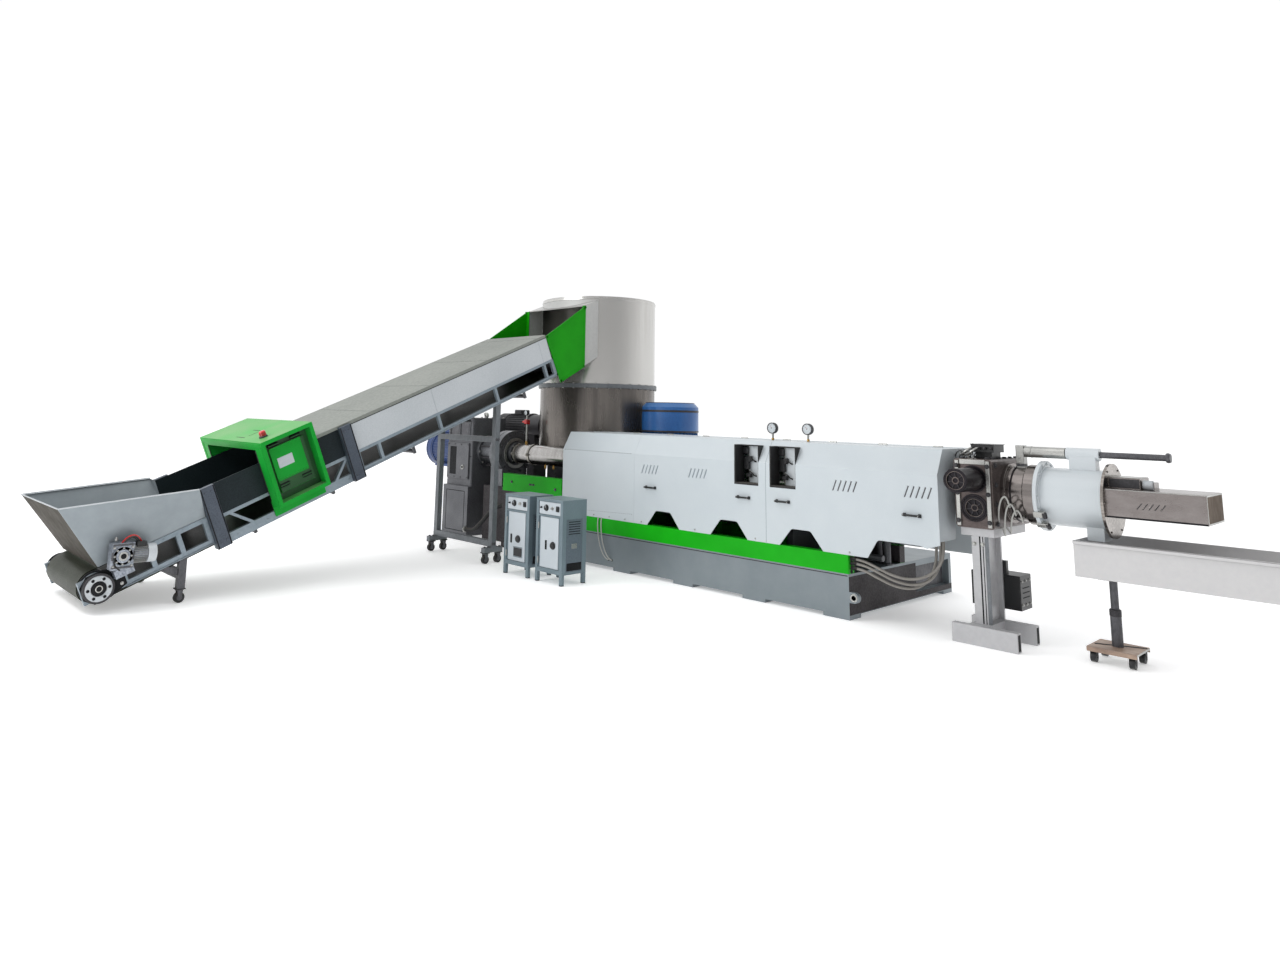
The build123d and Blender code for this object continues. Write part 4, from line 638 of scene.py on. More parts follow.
def makeConveyorTrim(s):
    half, start, end, top = s["half"], s["lidStart"], s["lidEnd"], s["lidTop"]
    lid, sides, bolts, rollers = [], [], [], []
    for seam in s["seams"]:
        lid.append((slab(-half, half, seam - 0.0015, seam + 0.0015, top - 0.0002, top + 0.0006, 0.0002),
                    "charcoalPanel"))
    lid.append((slab(-half, half, start - 0.004, start + 0.012, top - 0.02, top + 0.003), "lidBeige"))
    for side in (-1, 1):
        face = side * half
        out = "x" if side > 0 else "-x"
        lid += [(slab(face, face + side * 0.005, start, end, top - 0.03, top - 0.001), "lidBeige"),
                (slab(face, face + side * 0.0012, s["panelStart"], end, top - 0.038, top - 0.03, 0.0004),
                 "insideDark")]
        sides.append((slab(face, face + side * 0.003, s["panelStart"], s["panelStart"] + 0.022, 0.112, 0.37),
                      "panelGrey"))
        for seam in s["seams"][1::2]:
            sides.append((slab(face, face + side * 0.001, seam - 0.001, seam + 0.001, 0.112, 0.366, 0.0003),
                          "framePaint"))
        for low, high, first, last in s["rails"]:
            sides.append((slab(face - side * 0.02, face + side * 0.012, first, last, low, high), "framePaint"))
        for first, last, rise in s["boltRows"]:
            row = boltRow(out, (face, first, rise), (face, last, rise), 5, 0.006)
            bolts.append((row, "framePaint"))
        for place in s["posts"]:
            for edge in (-0.058, 0.048):
                strip = slab(face + side * 0.05, face + side * 0.0515, place + edge, place + edge + 0.01,
                             -0.148, 0.383)
                bolts.append((strip, "insideDark"))
            for rise in (-0.1, 0.34):
                row = boltRow(out, (face + side * 0.0503, place - 0.025, rise),
                              (face + side * 0.0503, place + 0.025, rise), 2, 0.007)
                bolts.append((row, "postPaint"))
        for place in s["rollers"]:
            low = slab(face - side * 0.01, face - side * 0.034, place - 0.014, place + 0.014, -0.18, -0.07)
            rollers.append((low, "standDark"))
    for place in s["rollers"]:
        body = disc(s["rollerRadius"], -half + 0.035, half - 0.035, "x", (0, place, -0.155), 24)
        rollers.append((body, "standDark"))
    makePiece("lid_seams", lid, slopes=True)
    makePiece("side_panel_trim", sides, slopes=True)
    makePiece("frame_bolts", bolts, slopes=True)
    makePiece("return_rollers", rollers, slopes=True)


makeConveyorTrim(conveyorTrim)

# --- conveyor tail: bearings, hopper lip, gearmotor and its leads
tailTrim = {"bearing": 0.113, "plate": 0.112, "face": 0.6003, "lipHalf": 0.65, "lipWide": 0.022,
            "leadRadius": 0.006, "hopperLow": (0.051, 0.1425), "panelAlong": 0.9}


def makeTailTrim(s):
    face = s["face"]
    parts = []
    for side, out in ((-1, "-x"), (1, "x")):
        corner = s["plate"]
        outline = [(-corner, -0.05), (-0.05, -corner), (0.07, -corner), (0.2, -0.07), (0.2, 0.07),
                   (0.07, corner), (-0.05, corner), (-corner, 0.05)]
        plate = placed(prism(outline, 0.0, 0.012, 0.002), (side * 0.5503, 0, 0),
                       [[0, 1, 0], [0, 0, 1], [side, 0, 0]])
        parts.append((plate, "insideDark"))
        profile = [(0.094, -0.012), (0.096, 0.0), (0.092, 0.004), (0.06, 0.005), (0.055, 0.001),
                   (0.055, -0.012)]
        parts += [(turned(profile, out, (side * face, 0, 0), 48, wrap=True), "panelGrey"),
                  (ring(0.096, s["bearing"], -0.038, -0.006, out, (side * face, 0, 0), 48), "insideDark"),
                  (turned([(0.055, -0.002), (0.053, 0.006), (0.034, 0.009), (0.002, 0.009)], out,
                          (side * face, 0, 0), 32), "insideDark"),
                  (ring(0.019, 0.027, 0.008, 0.0125, out, (side * face, 0, 0), 28), "zincSteel"),
                  (boltCircle(out, (side * (face + 0.0035), 0, 0), 0.076, 6, 0.009, pi / 4), "insideDark")]
        row = boltRow(out, (side * 0.562, 0.165, -0.05), (side * 0.562, 0.165, 0.05), 2, 0.01)
        parts.append((row, "zincSteel"))
    makePiece("tail_bearings", parts, slopes=True)

    lip = []
    half, wide = s["lipHalf"], s["lipWide"]
    corners = np.array([(-half, -0.085, 0.698), (half, -0.085, 0.698), (half, 0.885, 0.403),
                        (-half, 0.885, 0.403)])
    inward = np.array([(wide, 0, -0.002), (-wide, 0, -0.002), (-wide, 0, -0.002), (wide, 0, -0.002)])
    for a, b in ((3, 0), (0, 1), (1, 2)):
        lip.append((tube(np.linspace(corners[a], corners[b], 3), 0.005, 10, smooth=False), "panelGrey"))
        if b != 1:
            inner = np.array([corners[a], corners[b], corners[b] + inward[b], corners[a] + inward[a]])
            lip.append((gridShape(np.stack([inner, inner - [0, 0, 0.002]]), wrapAcross=True), "panelGrey"))
    makePiece("hopper_lip", lip, slopes=True)
    low, rise = s["hopperLow"]
    end = np.array([(-half + 0.012, -0.0855, 0.694), (half - 0.012, -0.0855, 0.694), (0.538, low, rise),
                    (-0.538, low, rise)])
    farX = -0.5505
    corner = np.array([(-half, 0.884, 0.402), (farX, s["panelAlong"], 0.38), (farX, s["panelAlong"], rise),
                       (-0.546, 0.895, rise)])
    plates = []
    # the end plate's darker finish is painted shade
    for outline, shift, finish in ((end, (0, -0.0012, -0.0003), "hopperShade"),
                                   (corner, (0.0012, 0, 0), "hopperSteel")):
        plates.append((gridShape(np.stack([outline, outline + shift]), wrapAcross=True), finish))
    makePiece("hopper_plates", plates, slopes=True)

    gear = []
    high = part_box("tail_gearmotor")[1]
    gearX, motorY, motorZ = high.x - 0.056, high.y, 0.44
    boxY = tailY + 0.12
    gear += [(ribs("y", (gearX, 0, motorZ), 0.056, 0.069, motorY - 0.17, motorY - 0.07, 28, 0.003),
              "zincSteel"),
             (ring(0.05, 0.071, motorY - 0.066, motorY - 0.004, "y", (gearX, 0, motorZ)), "panelGrey"),
             (boltCircle("y", (gearX, motorY - 0.004, motorZ), 0.03, 6, 0.005), "insideDark"),
             (slab(gearX - 0.034, gearX + 0.034, motorY - 0.15, motorY - 0.075, motorZ + 0.05, motorZ + 0.092,
                   0.006), "plasticBlack")]
    for radius, depth, finish in ((0.072, 0.006, "framePaint"), (0.05, 0.012, "gearSilver"),
                                  (0.034, 0.018, "zincSteel"), (0.02, 0.022, "insideDark")):
        gear.append((disc(radius, 0, depth, "x", (high.x - 0.012, boxY, 0.435)), finish))
    gear.append((boltCircle("x", (high.x - 0.007, boxY, 0.435), 0.06, 8, 0.006), "zincSteel"))
    for dy, dz, wide, tall in ((-0.075, -0.09, 0.15, 0.012), (-0.075, 0.078, 0.15, 0.012),
                               (-0.08, -0.03, 0.012, 0.06), (0.068, -0.03, 0.012, 0.06)):
        gear.append((slab(high.x - 0.02, high.x - 0.004, boxY + dy, boxY + dy + wide, 0.435 + dz,
                          0.435 + dz + tall), "standDark"))
    for dy in (-0.065, 0.065):
        for dz in (-0.075, 0.065):
            gear.append((placed(boltHead("x", 0.008), (high.x - 0.012, boxY + dy, 0.435 + dz)), "zincSteel"))
    gear.append((placed(fitting("z", 0.012, 0.03), (high.x - 0.05, boxY - 0.05, 0.545)), "zincSteel"))
    start = np.array([gearX, motorY - 0.11, motorZ + 0.09])
    for k, (finish, droop) in enumerate((("signalRed", 0.02), ("rubberBlack", 0.06), ("rubberBlack", 0.1))):
        shift = np.array([0.006 * k, -0.014 * k, 0])
        route = start + shift + np.array([(0, 0, 0), (0.01, -0.03, 0.05), (0.02, -0.1, 0.06 - 0.02 * k),
                                          (0.03, -0.17, 0.0 - droop), (0.045, -0.17, -0.06 - droop),
                                          (0.03, -0.12, -0.1 - droop)])
        gear.append((tube(route, s["leadRadius"], 8), finish))
    makePiece("gearmotor_trim", gear)


makeTailTrim(tailTrim)

# --- stands: bolts, brace and wheels
standTrim = {"half": 0.55, "wheel": 0.042, "boltSize": 0.012}


def makeStandTrim(s):
    low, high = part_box("conveyor_stand")
    standY = (low.y + high.y) / 2
    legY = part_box("tail_legs")[1].y - 0.03
    reach = (high.y - low.y) / 2 - 0.038
    parts, wheels = [], []
    for side, out in ((-1, "-x"), (1, "x")):
        edge = beltX + side * s["half"]
        for z in (0.2, (tailZ + (standY - tailY) * np.tan(slope)) - 0.49):
            parts.append((placed(boltRow(out, (0, -0.014, 0), (0, 0.014, 0), 2, s["boltSize"]),
                                 (edge, standY, z)), "standDark"))
        for end in (-1, 1):
            parts.append((boltRow("z", (edge - side * 0.03, standY + end * 0.05, 0.165),
                                  (edge - side * 0.03, standY + end * 0.1, 0.165), 2, s["boltSize"]),
                          "standDark"))
        plate = slab(side * 0.488, side * 0.5495, 0.62, 0.78, -0.1, -0.0905)
        parts.append((onSlope(plate), "framePaint"))
        centreX = edge - side * 0.038
        for y in (legY, standY - reach, standY + reach):
            for face, way in ((0.0172, "x"), (-0.0172, "-x")):
                wheels += [(turned([(0.0395, -0.006), (0.0395, 0.0), (0.034, 0.004), (0.014, 0.002),
                                    (0.012, 0.008), (0.003, 0.008)], way, (centreX + face, y, s["wheel"]), 28),
                            "rubberBlack"),
                           (turned([(0.022, 0.003), (0.022, 0.006), (0.015, 0.007), (0.002, 0.007)], way,
                                   (centreX + face, y, s["wheel"]), 20), "standDark")]
                fork = prism([(-0.022, 0.062), (0.022, 0.062), (0.012, -0.012), (-0.012, -0.012)], 0, 0.003)
                fork = placed(fork, (centreX + face * 1.55, y, s["wheel"]), axesFor["x"])
                wheels += [(fork, "standDark"),
                           (placed(boltHead(way, 0.007), (centreX + face * 1.6, y, s["wheel"])), "standDark")]
            wheels.append((ring(0.012, 0.034, 0.098, 0.106, "z", (centreX, y, 0), 24), "standDark"))
    makePiece("stand_bolts", parts)
    makePiece("caster_wheels", wheels)


makeStandTrim(standTrim)
print("conveyor dressed")

# --- metal detector: roof slot, side frame, hinges and beacon
tunnelTrim = {"start": 1.445, "end": 1.939, "half": 0.72, "low": -0.03, "high": 0.572, "recess": 0.615,
              "beaconAlong": 1.565, "beaconAcross": 0.52}


def makeTunnelTrim(s):
    start, end, half, low, high = s["start"], s["end"], s["half"], s["low"], s["high"]
    parts = []
    # the roof's shallow slot: two short dark edges and a long one
    for x0, x1, y0, y1 in ((0.02, 0.2, 1.518, 1.526), (0.02, 0.2, 1.68, 1.688), (0.2, 0.206, 1.56, 1.66)):
        parts.append((slab(x0, x1, y0, y1, high - 0.0002, high + 0.0012, 0.0003), "baseDark"))
    for along in (start, end):
        out = -1 if along == start else 1
        for first, last, bottom, top in ((-half + 0.03, half - 0.03, high - 0.05, high - 0.012),
                                         (-half + 0.012, -half + 0.05, low + 0.01, high - 0.03),
                                         (half - 0.05, half - 0.012, low + 0.01, high - 0.03)):
            parts.append((slab(first, last, along, along + out * 0.003, bottom, top), "detectorGreen"))
        for side in (-1, 1):
            guard = slab(side * 0.556, side * 0.57, along, along + out * 0.003, low + 0.12, high - 0.08)
            parts.append((guard, "rubberBlack"))
    # the side recess round the door: the back and the top, left and right walls are painted shade, the bottom wall
    # stays lit green
    for side in (-1, 1):
        deep, wall = side * s["recess"], side * (half - 0.012)
        left, right, bottom, top = s["start"] + 0.029, s["end"] - 0.029, low + 0.034, high - 0.034
        for y0, y1, z0, z1, finish in ((left, right, bottom, bottom + 0.002, "detectorGreen"),
                                       (left, right, top - 0.002, top, "insideDark"),
                                       (left, left + 0.002, bottom, top, "insideDark"),
                                       (right - 0.002, right, bottom, top, "shadedGreen")):
            parts.append((slab(deep, wall, y0, y1, z0, z1, 0.0004), finish))
        parts.append((slab(deep, deep + side * 0.0012, left, right, bottom, top, 0.0003), "shadedGreen"))
    makePiece("tunnel_edges", parts, slopes=True)

    door = []
    face = s["recess"] + 0.0223
    # darker green bands along two edges of the door: painted shadow in the gap round it
    for y0, y1, z0, z1 in ((1.826, 1.858, 0.07, 0.472), (1.53, 1.826, 0.07, 0.172)):
        door.append((slab(face - 0.001, face + 0.0012, y0, y1, z0, z1, 0.0004), "shadedGreen"))
    for along in (1.575, 1.79):
        for rise, tall in ((0.5, 0.03), (0.13, 0.035)):
            door += [(slab(s["recess"], face + 0.008, along - 0.045, along + 0.045, rise - tall / 2,
                           rise + tall / 2, 0.004), "insideDark"),
                     (disc(0.007, along - 0.05, along + 0.05, "y", (face + 0.008, 0, rise), 16), "shadedGreen")]
    door.append((slab(face - 0.002, face + 0.002, 1.573, 1.717, 0.279, 0.37, 0.0006), "cabinetPale"))
    for k in range(4):
        line = slab(face + 0.001, face + 0.0026, 1.588, 1.7, 0.295 + 0.018 * k, 0.301 + 0.018 * k, 0.0003)
        door.append((line, "panelGrey"))
    door += [(slab(face - 0.002, face + 0.003, 1.535, 1.822, 0.176, 0.186), "detectorGreen"),
             (slab(face - 0.002, face + 0.003, 1.535, 1.822, 0.466, 0.476), "detectorGreen")]
    makePiece("detector_door_trim", door, slopes=True)

    across, along, base = s["beaconAcross"], s["beaconAlong"], high
    parts = [(turned([(0.037, base), (0.037, base + 0.01), (0.033, base + 0.014), (0.0325, base + 0.016)], "z",
                     (across, along, 0), 32), "darkIron")]
    for k in range(5):
        parts.append((ring(0.029, 0.0318, base + 0.019 + k * 0.006, base + 0.0215 + k * 0.006, "z",
                           (across, along, 0), 32, 0.0006), "signalRed"))
    makePiece("beacon_base", parts, slopes=True)


makeTunnelTrim(tunnelTrim)
print("metal detector dressed")

# --- screen changer: edge strips, bolts, valve block and fittings
changerTrim = {"low": 0.8165, "high": 1.3225, "front": 1.5707, "left": 2.37, "right": 2.65, "stripWide": 0.042,
               "boltSize": 0.016, "valveTop": 1.428, "grooves": ((2.516, 2.526, "insideDark"),
                                                                 (2.54, 2.546, "insideDark"),
                                                                 (2.556, 2.585, "standGrey")),
               "pistons": ((1.5707, 0.965, "lower"), (1.2607, 1.175, "upper"))}


def makeChangerTrim(s):
    left, right, front, low, high = s["left"], s["right"], s["front"], s["low"], s["high"]
    middleX = (left + right) / 2
    parts = []
    for x0, x1 in ((left + 0.012, left + s["stripWide"]), (right - s["stripWide"], right - 0.012)):
        parts += [(slab(x0, x1, front - 0.016, front + 0.001, low + 0.012, high - 0.012, 0.003), "zincSteel"),
                  (boltRow("-y", ((x0 + x1) / 2, front - 0.016, low + 0.05),
                           ((x0 + x1) / 2, front - 0.016, high - 0.05), 3, 0.013), "darkIron")]
    parts.append((slab(left + 0.045, right - 0.045, front - 0.008, front + 0.001, high - 0.04, high - 0.004,
                       0.002), "zincSteel"))
    for _, z, _ in s["pistons"]:
        parts.append((ring(0.0875, 0.101, front - 0.007, front + 0.001, "y", (middleX, 0, z), 56),
                      "pistonDark"))
    for y in (front + 0.06, 2.22):
        parts.append((boltRow("x", (right - 0.002, y, low + 0.04), (right - 0.002, y, high - 0.04), 4,
                              s["boltSize"]), "darkIron"))
    for x in (left + 0.05, right - 0.05):
        parts.append((boltRow("z", (x, front + 0.05, high - 0.0005), (x, front + 0.6, high - 0.0005), 6,
                              s["boltSize"]), "darkIron"))
    for k in range(6):
        x = left + 0.03 + (k % 3) * 0.035
        y = front + 0.12 + (k // 3) * 0.28
        parts += [(placed(fitting("z", 0.009, 0.022), (x, y, high - 0.001)), "zincSteel"),
                  (tube([(x, y, high + 0.02), (x, y, high + 0.05), (x - 0.05, y + 0.04, high + 0.06),
                         (x - 0.12, y + 0.1, high + 0.02), (left - 0.06, y + 0.12, high - 0.12)], 0.004, 8),
                   "plasticBlack")]
    makePiece("changer_trim", parts)

    for face, z, name in s["pistons"]:
        ringParts = [(ring(0.066, 0.0845, face - 0.003, face + 0.004, "y", (middleX, 0, z), 56), "pistonDark"),
                     (ring(0.062, 0.066, face - 0.002, face + 0.006, "y", (middleX, 0, z), 56), "changerSteel"),
                     (ring(0.018, 0.026, face + 0.004, face + 0.0125, "y", (middleX, 0, z), 32),
                      "changerSteel"), (ribs("y", (middleX, 0, z), 0.026, 0.062, face + 0.004, face + 0.0105, 7,
                                             0.006), "darkIron")]
        makePiece(name + "_piston_face", ringParts, body=name + "_ram")

    top = s["valveTop"]
    valve = [(slab(2.43, 2.61, 1.735, 1.95, top - 0.002, top + 0.004, 0.002), "plasticBlack"),
             (boltRow("z", (2.445, 1.75, top), (2.595, 1.75, top), 2, 0.008), "zincSteel")]
    for x in (2.455, 2.5, 2.545, 2.59):
        valve.append((placed(fitting("-y", 0.011, 0.03), (x, 1.7407, 1.402)), "darkIron"))
    for x, bend in ((2.455, -0.1), (2.5, -0.13)):
        route = [(x, 1.708, 1.4), (x, 1.68, 1.4), (x - 0.02, 1.66, 1.385), (x - 0.06, 1.67, 1.35),
                 (x + bend, 1.72, 1.34), (x + bend - 0.02, 1.8, 1.36), (x + bend, 1.9, 1.35)]
        valve.append((tube(route, 0.009, 10), "zincSteel"))
    makePiece("valve_block", valve)

    stand = [(boltRow("-y", (2.48, 1.6105, 0.7), (2.54, 1.6105, 0.7), 2, 0.012), "zincSteel")]
    # the column's grooves and the beams' open ends
    for x0, x1, name in s["grooves"]:
        stand.append((slab(x0, x1, 1.6092, 1.612, 0.135, 0.77, 0.0005), name))
    for y in (1.4877, 1.4877 + 0.353):
        for x in (2.336, 2.796):
            stand += [(slab(x - 0.0015, x + 0.0015, y + 0.002, y + 0.06, 0.004, 0.131, 0.0004), "standPaint"),
                      (slab(x - 0.0022, x + 0.0022, y + 0.009, y + 0.053, 0.012, 0.123, 0.0003), "insideDark")]
    stand += [(slab(2.325, 2.675, 1.9085, 1.9115, 0.225, 0.445, 0.001), "plasticBlack"),
              (boltRow("-y", (2.345, 1.911, 0.24), (2.345, 1.911, 0.43), 2, 0.008), "zincSteel")]
    for z in (0.25, 0.42):
        stand.append((boltRow("x", (2.68, 1.94, z), (2.68, 2.09, z), 3, 0.008), "zincSteel"))
    for z in (0.3, 0.335, 0.37):
        stand.append((slab(2.68, 2.6815, 1.95, 2.08, z - 0.004, z + 0.004, 0.0005), "insideDark"))
    makePiece("changer_stand_trim", stand)


makeChangerTrim(changerTrim)
print("screen changer dressed")

# --- compactor: bolted ring, hatch, wing flanges, roof and its motor
vesselTrim = {"place": (-2.72, 2.7207, 0), "radius": 0.74, "ringBolts": 32, "boltRadius": 0.753,
              "boltHeights": (("z", 1.955), ("-z", 1.905)), "bands": (1.11, 2.99), "motor": (-1.596, 2.8607),
              "wallTurn": 0.79, "wallSteps": 40, "wallLow": 2.8875, "wallTop": 3.021, "roofFrom": 1.9557,
              "roofRise": 0.135 / 0.34}


def curvedPlate(radius, thick, first, last, low, high, place, steps=24):
    angles = np.linspace(first, last, steps)
    corners = ((radius, low), (radius + thick, low), (radius + thick, high), (radius, high))
    points = np.stack([[(r * cos(a), r * sin(a), z) for r, z in corners] for a in angles])
    return placed(gridShape(points, wrapAcross=True), place)


def makeVesselTrim(s):
    place, radius = s["place"], s["radius"]
    parts = []
    for z in s["bands"]:
        parts.append((ring(radius - 0.002, radius + 0.006, z, z + 0.026, "z", place, 96), "vesselSteel"))
    for way, z in s["boltHeights"]:
        parts.append((boltCircle(way, (place[0], place[1], z), s["boltRadius"], s["ringBolts"], 0.009),
                      "zincSteel"))
    makePiece("vessel_bands", parts)

    hatch = [(curvedPlate(radius - 0.001, 0.012, 0.95, 1.75, 1.3, 1.78, place), "vesselSteel"),
             (curvedPlate(radius + 0.01, 0.006, 0.99, 1.71, 1.33, 1.75, place), "vesselSteel")]
    for angle in np.linspace(1.0, 1.7, 6):
        out = [[-sin(angle), cos(angle), 0], [0, 0, 1], [cos(angle), sin(angle), 0]]
        for z in (1.345, 1.735):
            centre = (place[0] + (radius + 0.0145) * cos(angle), place[1] + (radius + 0.0145) * sin(angle), z)
            hatch.append((placed(boltHead("z", 0.008), centre, out), "zincSteel"))
    for z in (1.45, 1.62):
        hatch.append((disc(0.009, 0.745, 0.775, "y", (place[0] - 0.16, place[1] - 0.02, z), 12), "zincSteel"))
    hatch.append((disc(0.009, 1.44, 1.63, "z", (place[0] - 0.16, place[1] + 0.75, 0), 12), "zincSteel"))
    makePiece("vessel_hatch", hatch)

    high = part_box("chute_wings")[1]
    wingTop = slopePlace + np.array([0, 4.99, 0.385]) @ slopeAxes
    wingLow = slopePlace + np.array([0, 5.02, -0.196]) @ slopeAxes
    mouthY = high.y - 0.002
    strips = []
    for side, out in ((-1, "-x"), (1, "x")):
        x = beltX + side * 0.5585
        corners = [(x, wingTop[1], wingTop[2]), (x, mouthY, high.z), (x, mouthY, 2.145),
                   (x, wingLow[1], wingLow[2])]
        inside = np.mean(corners, axis=0)
        for a in range(4):
            start, end = np.array(corners[a]), np.array(corners[(a + 1) % 4])
            inward = inside - (start + end) / 2
            strips.append((plank(start, end, 0.03, 0.006, inward), "wingGreen"))
            dots = np.linspace(start, end, 7)[1:-1] + inward / np.linalg.norm(inward) * 0.014
            strips.append((repeated(boltHead(out, 0.005), dots + np.array([side * 0.003, 0, 0])), "wingGreen"))
        strips.append((slab(beltX + side * 0.552, beltX + side * 0.5, mouthY - 0.012, mouthY - 0.008, 2.2,
                            2.86), "wingGreen"))
    makePiece("wing_flanges", strips)

    # the wall above the hood's sloping roof, which meets the vessel below its top
    wall, inner, outer, top = [], radius - 0.003, radius + 0.0004, s["wallTop"]
    for angle in -pi / 2 + np.linspace(-s["wallTurn"], s["wallTurn"], s["wallSteps"]):
        y = place[1] + (radius + 0.0002) * sin(angle)
        low = s["wallLow"] + (y - s["roofFrom"]) * s["roofRise"]
        wall.append([(place[0] + r * cos(angle), place[1] + r * sin(angle), z)
                     for r, z in ((inner, low), (outer, low), (outer, top), (inner, top))])
    makePiece("hood_top_wall", [(gridShape(np.array(wall), wrapAcross=True), "hoodSteel")])

    roof = [(ring(0.715, 0.7395, 3.0195, 3.0315, "z", place, 96), "vesselSteel"),
            (plank((beltX - 0.53, 1.958, 2.888), (beltX + 0.53, 1.958, 2.888), 0.02, 0.003, (0, 0.34, 0.095)),
             "polishedSteel")]
    for x in (beltX - 0.4, beltX, beltX + 0.4):
        roof.append((placed(boltHead("z", 0.009), (x, 2.05, 2.912)), "zincSteel"))
    makePiece("roof_rim", roof)

    motorX, motorY = s["motor"]
    place = (motorX, motorY, 0)
    motor = [(ribs("z", place, 0.296, 0.332, 0.5, 1.39, 44, 0.008), "motorBlue"),
             (ring(0.3, 0.342, 1.63, 1.655, "z", place, 64), "darkIron"),
             (ring(0.3, 0.342, 1.395, 1.415, "z", place, 64), "darkIron"),
             (ring(0.25, 0.292, 1.736, 1.7445, "z", place, 64), "darkIron")]
    for k in range(6):
        motor.append((ring(0.03 + k * 0.036, 0.046 + k * 0.036, 1.7385, 1.7435, "z", place, 48), "darkIron"))
    motor += [(ribs("z", place, 0.03, 0.25, 1.737, 1.7425, 8, 0.01), "darkIron"),
              (boltCircle("z", (motorX, motorY, 0.417), 0.318, 12, 0.014), "zincSteel"),
              (slab(motorX + 0.29, motorX + 0.42, motorY - 0.12, motorY + 0.12, 0.95, 1.2, 0.012), "motorBlue")]
    for z in (0.97, 1.18):
        motor.append((boltRow("x", (motorX + 0.419, motorY - 0.1, z), (motorX + 0.419, motorY + 0.1, z), 2,
                              0.008), "zincSteel"))
    makePiece("upright_motor_trim", motor)


makeVesselTrim(vesselTrim)
print("compactor dressed")

# --- drive end: motor, gearbox, lantern, flange, heater bands, side motor and valve
driveTrim = {"motorRadius": 0.225, "motorFins": 40, "sideRadius": 0.155, "sidePlace": (0, 2.5407, 1.405),
             "dialRadius": 0.034, "valveX": -3.17, "boxFront": 1.6405, "boxLeft": -4.49, "boxRight": -3.94,
             "bands": (-3.28, -3.0, -2.3, -1.99), "fittings": (-2.73, -2.58, -2.33)}


